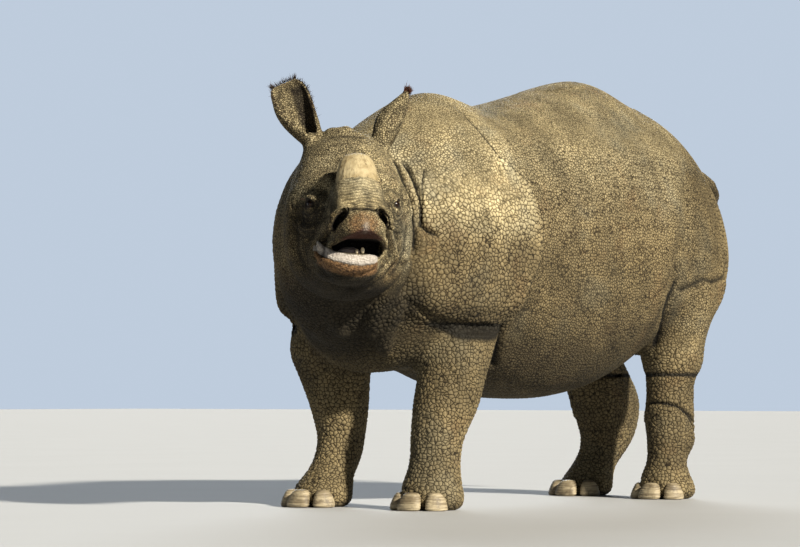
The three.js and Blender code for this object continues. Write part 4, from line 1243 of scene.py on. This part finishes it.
def marked(m, colour, grain):
    """The colour with the rusty, red and pale parts of the mouth, and painted shade in the creases and the
    hollows.
    """
    rust = m.mix(m.span(grain, 0.35, 0.65), (0.040, 0.020, 0.010), (0.235, 0.132, 0.056))
    colour = m.mix(m.attribute("rust"), colour, rust)
    red = m.mix(grain, (0.018, 0.006, 0.004), (0.100, 0.040, 0.026))
    colour = m.mix(m.attribute("red"), colour, red)
    pale = m.mix(m.span(grain, 0.35, 0.7), (0.520, 0.470, 0.410), (0.300, 0.258, 0.215))
    colour = m.mix(m.attribute("pale_lip"), colour, pale)
    # painted shade in the creases
    crease = m.span(m.attribute("crease"), 0.10, 0.9, 0.0, 0.94)
    colour = m.mix(crease, colour, (0.006, 0.005, 0.003))
    # painted shade in the mouth, nostrils, round the eyes and in the ear's hollow
    return m.mix(m.attribute("hollow"), colour, (0.006, 0.004, 0.003))


def hide_material():
    m = Shader("hide", 0.8)
    head = m.attribute("head")
    light = m.attribute("light")
    nose = m.attribute("nose")
    grain = m.noise(95.0, 5.0, 0.7)
    tone = m.mix(m.times(nose, 0.65), pebble_tone(m), (0.62, 0.62, 0.62))
    colour = dusted_and_shaded(m, pebble_colour(m, tone, light, head), light, head)
    line = wrinkle_line(m, nose)
    colour = m.mix(m.span(line, 0.10, 0.80, 0.85, 0.0), colour, GAP)
    colour = m.mix(m.span(grain, 0.34, 0.72, 0.0, 0.45), colour, (0.040, 0.032, 0.018))
    m.paint(marked(m, colour, grain))
    m.put(m.span(tone, 0.0, 1.0, 0.95, 0.72), m.main.inputs["Roughness"])
    m.shine(0.22)
    pores = m.noise(280.0, 2.0, 0.5)
    relief = ((tone, 0.0024), (grain, 0.0018), (line, 0.0030), (pores, 0.0006))
    m.bump(m.plus(*(m.times(value, height) for value, height in relief)))
    return m.material


HIDE = hide_material()
skin.data.materials.append(HIDE)
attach(skin, "root")
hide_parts(*FLESH)


# ---------------------------------------------------------------- eyes, horn, nails, teeth and tongue

def dressed(obj, material, finish, *nodes):
    """Give a piece its material and its body, and hide the CAD nodes that it stands for, if any; finish is
    not used.
    """
    obj.data.materials.append(material)
    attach(obj, "root")
    if nodes:
        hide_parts(*nodes)


def capped_rings(rings):
    """Points and triangles of a closed body through rings of points."""
    count, around = rings.shape[:2]
    index = np.arange(count * around).reshape(count, around)
    turned = np.roll(index, -1, axis=1)
    a, b, c, d = index[:-1], turned[:-1], turned[1:], index[1:]
    faces = [np.stack([a, b, c], -1).reshape(-1, 3), np.stack([a, c, d], -1).reshape(-1, 3)]
    ends = np.array([rings[0].mean(0), rings[-1].mean(0)])
    first_end, last_end = count * around, count * around + 1
    faces.append(np.stack([turned[0], index[0], np.full(around, first_end)], -1))
    faces.append(np.stack([index[-1], turned[-1], np.full(around, last_end)], -1))
    return np.concatenate([rings.reshape(-1, 3), ends]), np.concatenate(faces)


# Rows of the horn: share of its height, half its width and half its length.
HORN_ROWS = [(0.00, 0.088, 0.098), (0.10, 0.082, 0.091), (0.25, 0.079, 0.086), (0.50, 0.0745, 0.074),
             (0.72, 0.066, 0.060), (0.88, 0.052, 0.044), (0.96, 0.035, 0.029), (1.0, 0.010, 0.009)]
HORN_AHEAD = 0.122  # from between the eyes to the middle of the horn's foot
HORN_SUNK = 0.010  # how far the horn goes on below its CAD solid, in the skin


def horn_piece():
    """The worn, blunt horn: rings that narrow upwards, with shallow vertical ridges and a chip."""
    low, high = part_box("horn")
    rows = np.array(HORN_ROWS)
    t = 1 - (1 - np.linspace(0, 1, 70)) ** 1.5
    across = smooth_through(rows[:, 0], rows[:, 1], t)[:, None]
    along = smooth_through(rows[:, 0], rows[:, 2], t)[:, None]
    turn = np.linspace(0, 2 * math.pi, 128, endpoint=False)[None, :]
    t = t[:, None]
    waves = np.zeros_like(across * turn)
    for count, size in ((5, 0.010), (11, 0.006), (19, 0.005), (34, 0.004)):
        waves = waves + size * np.sin(turn * count + rng.uniform(0, 6.3) + 2.5 * t)
    waves = waves * (1 - 0.7 * ramp(t, 0.8, 1.0)) * ramp(t, 0.0, 0.15)
    chip = 0.05 * bell(turn, 4.3, 0.35) * bell(t, 0.86, 0.08)
    size = 1 + waves - chip
    side = across * np.cos(turn) * size
    ahead = HORN_AHEAD - 0.022 * t ** 2 + along * np.sin(turn) * size
    foot = low[2] - HORN_SUNK
    height = foot + (high[2] - foot) * t + 0 * turn
    height = height - 0.006 * below(t, 0.0, 0.3) * np.sin(turn)
    rings = EYES + side[..., None] * SIDE + ahead[..., None] * AHEAD
    rings[..., 2] = height
    obj = mesh_object("horn_stump", *capped_rings(rings))
    store_place(obj.data)
    return obj


def horn_material():
    m = Shader("horn", 0.55)
    fibres = m.noise(60.0, 5.0, 0.65, (1.0, 1.0, 0.10))
    stain = m.noise(17.0, 4.0, 0.65)
    scratch = m.noise(120.0, 3.0, 0.6, (1.0, 1.0, 0.35))
    colour = m.mix(m.span(stain, 0.35, 0.65), (0.270, 0.205, 0.100), (0.430, 0.350, 0.200))
    colour = m.mix(m.span(fibres, 0.50, 0.72, 0.0, 0.8), colour, (0.130, 0.090, 0.040))
    colour = m.mix(m.span(scratch, 0.58, 0.72, 0.0, 0.75), colour, (0.075, 0.050, 0.022))
    m.paint(colour)
    m.put(m.span(fibres, 0.3, 0.8, 0.60, 0.85), m.main.inputs["Roughness"])
    m.shine(0.25)
    height = m.plus(m.times(fibres, -0.004), m.times(scratch, -0.0015))
    m.bump(height, 0.8)
    return m.material


def nail_piece(node):
    """A toe nail from its CAD solid, a little larger, with growth rings."""
    points, faces = rounded_copy(node)
    points = points.astype(float)
    centre = (points.min(0) + points.max(0)) / 2
    points = centre + (points - centre) * np.array([1.07, 1.07, 1.04])
    out = points - centre
    out[:, 2] = 0
    out /= np.maximum(np.linalg.norm(out, axis=1, keepdims=True), 1e-6)
    wobble = np.sin(points[:, 0] * 70) * 0.0015 + np.sin(points[:, 1] * 55) * 0.0015
    rings = 0.0011 * np.sin((points[:, 2] + wobble) * 2 * math.pi / 0.0095)
    points += out * rings[:, None]
    points[:, 2] = np.maximum(points[:, 2], 0.0008)
    obj = mesh_object(node.replace("nail", "toe_nail"), points, faces)
    store_place(obj.data)
    return obj


def nail_material():
    m = Shader("nail", 0.6)
    bands = m.noise(40.0, 3.0, 0.6, (0.15, 0.15, 2.2))
    dirt = m.noise(26.0, 4.0, 0.65)
    colour = m.mix(m.span(bands, 0.35, 0.65), (0.175, 0.135, 0.078), (0.360, 0.295, 0.185))
    colour = m.mix(m.span(dirt, 0.48, 0.70, 0.0, 0.75), colour, (0.080, 0.058, 0.032))
    m.paint(colour)
    m.bump(m.plus(m.times(bands, 0.003), m.times(dirt, 0.002)), 0.8)
    return m.material


EYE_SIDE_COUNT = 64  # points in a ring of an eyeball


def eye_piece(node, sign):
    """Eyeball with a bulging cornea that looks sideways and ahead; the iris is read from a stored angle."""
    low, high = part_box(node)
    radius = (high[2] - low[2]) / 2 * 1.02
    look = head_vector((sign * 0.74, 0.67, 0.0))
    look /= np.linalg.norm(look)
    aside = np.cross(look, UP)
    angle = np.linspace(0.02, math.pi - 0.02, 48)[:, None, None]
    turn = np.linspace(0, 2 * math.pi, EYE_SIDE_COUNT, endpoint=False)[None, :, None]
    around = aside * np.cos(turn) + np.cross(aside, look) * np.sin(turn)
    ways = look * np.cos(angle) + around * np.sin(angle)
    swell = 1 + 0.08 * np.exp(-((angle / 0.5) ** 2))
    obj = mesh_object(node + "_ball", *capped_rings(middle(node) + ways * radius * swell))
    store(obj.data, "spread", np.concatenate([np.repeat(angle[:, 0, 0], EYE_SIDE_COUNT), [0.0, math.pi]]))
    store_place(obj.data)
    return obj


def eye_material():
    m = Shader("eye", 0.16)
    spread = m.attribute("spread")
    streaks = m.noise(400.0, 3.0)
    iris = m.mix(streaks, (0.008, 0.004, 0.002), (0.022, 0.011, 0.006))
    colour = m.mix(m.span(spread, 0.22, 0.27), (0.003, 0.002, 0.002), iris)
    white = m.mix(streaks, (0.008, 0.005, 0.004), (0.018, 0.012, 0.009))
    colour = m.mix(m.span(spread, 0.62, 0.72), colour, white)
    m.paint(colour)
    m.shine(0.18)
    return m.material


def tooth_material():
    m = Shader("tooth", 0.35)
    stain = m.noise(90.0, 4.0, 0.6)
    m.paint(m.mix(m.span(stain, 0.4, 0.7), (0.640, 0.540, 0.350), (0.330, 0.230, 0.110)))
    m.bump(m.times(stain, 0.0012), 0.7)
    return m.material


def tongue_material():
    m = Shader("tongue", 0.45)
    bumps = m.cells(420.0).outputs["Distance"]
    tint = m.noise(30.0, 4.0, 0.6)
    colour = m.mix(tint, (0.240, 0.175, 0.150), (0.400, 0.330, 0.290))
    m.paint(m.mix(m.span(bumps, 0.3, 0.7, 0.0, 0.5), colour, (0.130, 0.080, 0.070)))
    m.bump(m.times(bumps, -0.0016), 0.8)
    return m.material


def rounded_piece(node, name):
    """A piece that is its CAD solid with rounded facets."""
    obj = mesh_object(name, *rounded_copy(node))
    store_place(obj.data)
    return obj


dressed(horn_piece(), horn_material(), "horn", "horn")
NAIL = nail_material()
for node in sorted(name for name in NODES if "nail" in name):
    dressed(nail_piece(node), NAIL, "nail", node)
EYE = eye_material()
dressed(eye_piece("eye_left", 1), EYE, "eye", "eye_left")
dressed(eye_piece("eye_right", -1), EYE, "eye", "eye_right")
TOOTH = tooth_material()
for node in sorted(name for name in NODES if "tooth" in name or "teeth" in name):
    dressed(rounded_piece(node, node + "_crown"), TOOTH, "tooth", node)
dressed(rounded_piece("tongue", "tongue_blade"), tongue_material(), "tongue", "tongue")


# ---------------------------------------------------------------- bake maps

# Regions of the skin, each with its own charts; the four legs follow FIRST_LEG.
HEAD, MOUTH, LEFT_EAR, FIRST_LEG, TAIL_END, RIGHT_EAR = 1, 2, 3, 4, 8, 9
MAP_EDGE = 0.004  # free margin round the map
MAP_GAP = 0.006  # between charts


def chart_numbers(middles, normals):
    """A number for each face: its region, and which way it faces."""
    x, y, z = middles.T
    s, f, _ = head_place(middles)
    region = np.zeros(len(middles), int)
    region[(f > -0.30) & (z > 0.78)] = HEAD
    region[(np.abs(s) < 0.105) & (f > -0.08) & (f < 0.19) & (z > 0.925) & (z < 1.005)] = MOUTH
    ears = (z > 1.37) & (f > -0.42) & (np.abs(s) > 0.08) & (y < -0.9)
    region[ears] = LEFT_EAR
    leg = (z < 0.60) & ((y < -0.40) | (y > 0.66) | (z < 0.42))
    region[leg] = FIRST_LEG + 2 * (y[leg] > 0.1) + (x[leg] > MID_X)
    region[(y > 1.50) & (np.abs(x - MID_X) < 0.05) & (z < 1.33)] = TAIL_END
    region[(region == LEFT_EAR) & (s < 0)] = RIGHT_EAR
    way = np.argmax(np.abs(normals), axis=1)
    facing = way * 2 + (normals[np.arange(len(way)), way] > 0)
    for number, name in ((LEFT_EAR, "ear_left"), (RIGHT_EAR, "ear_right")):
        ear = region == number
        facing[ear] = 2 + (normals[ear] @ head_vector(EAR_SETTINGS[name]["opening"]) > 0)
    return region * 6 + facing


def packed(sizes):
    """A scale and a place for each flat chart, in rows, so that all of them fit in the map."""
    scale = 0.35
    while True:
        spots, x, y, tall = [], MAP_EDGE, MAP_EDGE, 0.0
        for size in sizes:
            wide, high = size * scale
            if x + wide > 1 - MAP_EDGE:
                x, y, tall = MAP_EDGE, y + tall + MAP_GAP, 0.0
            spots.append((x, y))
            x += wide + MAP_GAP
            tall = max(tall, high)
        if y + tall < 1 - MAP_EDGE:
            return scale, spots
        scale *= 0.97


def unwrapped(obj):
    """Map OFBake of the skin in flat charts; its points, and each point's place on the map."""
    mesh = obj.data
    points = read(mesh.vertices, "co", 3)
    corners = read(mesh.loops, "vertex_index", 1, np.int32).reshape(-1, 4)
    normals = read(mesh.polygons, "normal", 3)
    chart = chart_numbers(points[corners].mean(axis=1), normals)
    charts = []
    for number in np.unique(chart):
        mine = np.nonzero(chart == number)[0]
        keep = [axis for axis in range(3) if axis != (number % 6) // 2]
        place = points[corners[mine]][..., keep]
        low = place.min(axis=(0, 1))
        charts.append((mine, place - low, place.max(axis=(0, 1)) - low))
    charts.sort(key=lambda item: -item[2][1])
    scale, spots = packed([size for _, _, size in charts])
    flat = np.zeros((len(corners), 4, 2), np.float32)
    for (mine, place, _), spot in zip(charts, spots):
        flat[mine] = place * scale + np.array(spot, np.float32)
    layer = mesh.uv_layers.new(name="OFBake")
    layer.uv.foreach_set("vector", flat.ravel())
    at_point = np.zeros((len(points), 2), np.float32)
    at_point[corners.ravel()] = flat.reshape(-1, 2)
    return points, at_point


SKIN_POINTS, SKIN_MAP = unwrapped(skin)


# ---------------------------------------------------------------- hair

# A hair is four rings of three points and a tip.
HAIR_ROWS = np.array([0.0, 0.3, 0.6, 0.85])
HAIR_THICK = np.array([1.0, 0.85, 0.6, 0.3])
HAIR_POINTS = 13
HAIR_PATCH = 0.003  # size of a hair on the map


def hair_points(roots, ways, lengths, radius, bend):
    """The points of each hair."""
    helper = np.where(np.abs(ways[:, 2:3]) < 0.9, [[0.0, 0.0, 1.0]], [[1.0, 0.0, 0.0]])
    first = np.cross(ways, helper)
    first /= np.linalg.norm(first, axis=1, keepdims=True)
    second = np.cross(ways, first)
    points = np.empty((len(roots), HAIR_POINTS, 3))
    for k, (t, thick) in enumerate(zip(HAIR_ROWS, HAIR_THICK * radius)):
        centre = roots + lengths[:, None] * (ways * t + bend * t * t)
        for j in range(3):
            a = 2 * math.pi * j / 3
            points[:, k * 3 + j] = centre + (first * math.cos(a) + second * math.sin(a)) * thick
    points[:, -1] = roots + lengths[:, None] * (ways + bend)
    return points


def hair_faces():
    """The triangles of one hair."""
    faces = []
    for k in range(3):
        for j in range(3):
            a, b = k * 3 + j, k * 3 + (j + 1) % 3
            faces += [(a, b, b + 3), (a, b + 3, a + 3)]
    faces += [(9, 10, 12), (10, 11, 12), (11, 9, 12), (0, 2, 1)]
    return np.array(faces)


def map_places(roots):
    """Where the skin next to each root lies on the skin's map."""
    low, high = roots.min(0) - 0.05, roots.max(0) + 0.05
    near = np.nonzero(np.all((SKIN_POINTS > low) & (SKIN_POINTS < high), axis=1))[0]
    tree = KDTree(len(near))
    for k, index in enumerate(near):
        tree.insert(SKIN_POINTS[index], k)
    tree.balance()
    return np.array([SKIN_MAP[near[tree.find(root)[1]]] for root in roots])


def hair_piece(name, roots, ways, lengths, radius, droop=0.0):
    """Joined three-sided tapering hairs, each mapped to a small patch at its root's place on the skin."""
    roots, ways = np.array(roots), np.array(ways)
    ways = ways / np.linalg.norm(ways, axis=1, keepdims=True)
    count = len(roots)
    bend = rng.normal(0, 0.25, (count, 3)) + np.array([0, 0, -droop])
    points = hair_points(roots, ways, lengths, radius, bend)
    faces = hair_faces()
    all_faces = (faces[None] + HAIR_POINTS * np.arange(count)[:, None, None]).reshape(-1, 3)
    obj = mesh_object(name, points.reshape(-1, 3), all_faces)
    patch = np.stack([np.tile([0.0, 0.5, 1.0], 4), np.repeat(HAIR_ROWS, 3)], axis=1)
    patch = np.concatenate([patch, [[0.5, 1.0]]]) * HAIR_PATCH
    flat = (map_places(roots)[:, None] + patch[None])[np.arange(count)[:, None, None], faces[None]]
    layer = obj.data.uv_layers.new(name="OFBake")
    layer.uv.foreach_set("vector", flat.astype(np.float32).ravel())
    store(obj.data, "along", np.tile(np.concatenate([np.repeat(HAIR_ROWS, 3), [1.0]]), count))
    store_place(obj.data)
    return obj


def hair_material(name, root, tip):
    m = Shader(name, 0.8)
    m.shine(0.15)
    m.paint(m.mix(m.span(m.attribute("along"), 0.1, 0.9), root, tip))
    m.bump(m.times(m.noise(500.0, 2.0), 0.0004), 0.5)
    return m.material


def ear_fringe(name, first_row, share_of_top):
    """Roots and ways of the hairs along both rims of an ear and over its top."""
    rings = ear_rings(name)
    count, around = rings.shape[:2]
    half = around // 2
    roots, ways = [], []
    up = rings[-1].mean(0) - rings[count // 2].mean(0)
    up /= np.linalg.norm(up)
    for k in range(int(first_row * count), count):
        centre = rings[k].mean(0)
        for edge in ((0, around - 1), (half - 1, half)):
            rim = rings[k, list(edge)].mean(0)
            out = rim - centre
            out /= np.linalg.norm(out)
            for _ in range(4):
                roots.append(rim + rng.normal(0, 0.0022, 3))
                ways.append(out * 0.8 + up * 0.55 + rng.normal(0, 0.22, 3))
    for j in range(half):
        top = rings[-1, j]
        out = top - rings[-1].mean(0)
        for _ in range(share_of_top):
            roots.append(top + rng.normal(0, 0.0022, 3))
            ways.append(up + out * 8 + rng.normal(0, 0.20, 3))
    return roots, ways


def ear_hair(name, first_row, share_of_top, shortest, longest):
    """The dark fringe of an ear."""
    roots, ways = ear_fringe(name, first_row, share_of_top)
    lengths = rng.uniform(shortest, longest, len(roots))
    dressed(hair_piece(name + "_fringe", roots, ways, lengths, 0.0009), HAIR, "hide")


def left_ear_tuft(count=150):
    """The reddish tuft at the tip of the left ear."""
    tip = ear_rings("ear_left")[-1]
    up = ear_axes(EAR_SETTINGS["ear_left"])[0]
    roots = tip[rng.integers(0, len(tip), count)] + rng.normal(0, 0.004, (count, 3))
    roots = roots - up * rng.uniform(0, 0.02, (count, 1))
    ways = up + rng.normal(0, 0.16, (count, 3))
    lengths = rng.uniform(0.012, 0.026, count)
    dressed(hair_piece("ear_left_tuft", roots, ways, lengths, 0.0011), RED_HAIR, "hide")


def tail_tuft(count=420):
    """The dark hairs round the end of the tail."""
    share = rng.uniform(0, 1, count) ** 0.6
    end = np.array(TAIL[-3:])
    middles = np.stack([np.interp(share, [0, 0.5, 1], end[:, k]) for k in range(3)], axis=1)
    turn = rng.uniform(0, 2 * math.pi, count)
    out = np.stack([np.cos(turn), np.sin(turn), 0 * turn], axis=1)
    ways = out * rng.uniform(0.1, 0.35, (count, 1)) + np.array([0, 0.05, -1.0])
    lengths = rng.uniform(0.05, 0.11, count)
    dressed(hair_piece("tail_tuft", middles + out * 0.012, ways, lengths, 0.0012), HAIR, "hide")


def lashes(count=26):
    """The lashes of both upper lids."""
    roots, ways = [], []
    for eye, sign in EYE_SIDES:
        for _ in range(count):
            t = rng.uniform(-1, 1)
            root = (sign * (0.034 - 0.010 * t * t), 0.012 + 0.020 * t, 0.018 - 0.005 * t * t)
            roots.append(eye + head_vector(root))
            ways.append(head_vector((sign * 0.8, 0.6 + 0.3 * t, 0.15)) + rng.normal(0, 0.12, 3))
    lengths = rng.uniform(0.010, 0.017, len(roots))
    dressed(hair_piece("lashes", roots, ways, lengths, 0.0006, 0.2), HAIR, "hide")


HAIR = hair_material("hair", (0.020, 0.014, 0.010), (0.045, 0.026, 0.016))
RED_HAIR = hair_material("red_hair", (0.030, 0.012, 0.008), (0.140, 0.040, 0.022))
ear_hair("ear_right", 0.42, 6, 0.010, 0.021)
ear_hair("ear_left", 0.50, 7, 0.008, 0.016)
left_ear_tuft()
tail_tuft()
lashes()


# ---------------------------------------------------------------- floor, light and camera

def floor_piece(reach=60):
    """A wide, plain, light floor."""
    points = np.array([[-reach, -reach, 0], [reach, -reach, 0], [reach, reach, 0], [-reach, reach, 0]], float)
    obj = mesh_object("floor", points, np.array([[0, 1, 2, 3]]))
    m = Shader("floor", 0.9)
    m.place = m.tree.nodes.new("ShaderNodeTexCoord").outputs["Object"]
    speck = m.span(m.noise(1.3, 4.0), 0.3, 0.7)
    m.paint(m.mix(speck, (0.425, 0.425, 0.415), (0.435, 0.435, 0.425)))
    obj.data.materials.append(m.material)
    return obj


def sky():
    """A bluish world that is light near the horizon and dark above it."""
    world = bpy.data.worlds.new("studio")
    bpy.context.scene.world = world
    world.use_nodes = True
    tree = world.node_tree
    way = tree.nodes.new("ShaderNodeTexCoord")
    parts = tree.nodes.new("ShaderNodeSeparateXYZ")
    level = tree.nodes.new("ShaderNodeMapRange")
    level.interpolation_type = "SMOOTHSTEP"
    for name, value in (("From Min", 0.13), ("From Max", 0.19), ("To Min", 0.72), ("To Max", 0.03)):
        level.inputs[name].default_value = value
    background = tree.nodes["Background"]
    background.inputs["Color"].default_value = (0.72, 0.84, 1.0, 1)
    tree.links.new(way.outputs["Generated"], parts.inputs["Vector"])
    tree.links.new(parts.outputs["Z"], level.inputs["Value"])
    tree.links.new(level.outputs["Result"], background.inputs["Strength"])


def sun(name, energy, angle, colour, place, way):
    """A sun lamp that shines the given way."""
    data = bpy.data.lights.new(name, "SUN")
    data.energy = energy
    data.angle = angle
    data.color = colour
    lamp = bpy.data.objects.new(name, data)
    bpy.context.scene.collection.objects.link(lamp)
    lamp.location = place
    lamp.rotation_euler = Vector(way).to_track_quat("-Z", "Y").to_euler()


def view():
    """The camera: low, from ahead and to the animal's left, with a long lens."""
    data = bpy.data.cameras.new("camera")
    data.lens = 135
    data.sensor_width = 36
    camera = bpy.data.objects.new("camera", data)
    bpy.context.scene.collection.objects.link(camera)
    camera.location = (7.316, -9.739, 0.437)
    camera.rotation_euler = (math.radians(92.32), 0, math.radians(39.0))
    bpy.context.scene.camera = camera


floor = floor_piece()
sky()
sun("key", 7.9, 0.06, (1.0, 0.94, 0.83), (6.0, -0.6, 4.2), (-0.875, 0.170, -0.454))
sun("fill", 2.0, 0.5, (0.86, 0.93, 1.0), (-5.0, 6.0, 4.0), (0.62, -0.70, -0.36))
view()
bpy.context.scene.view_settings.view_transform = "Standard"
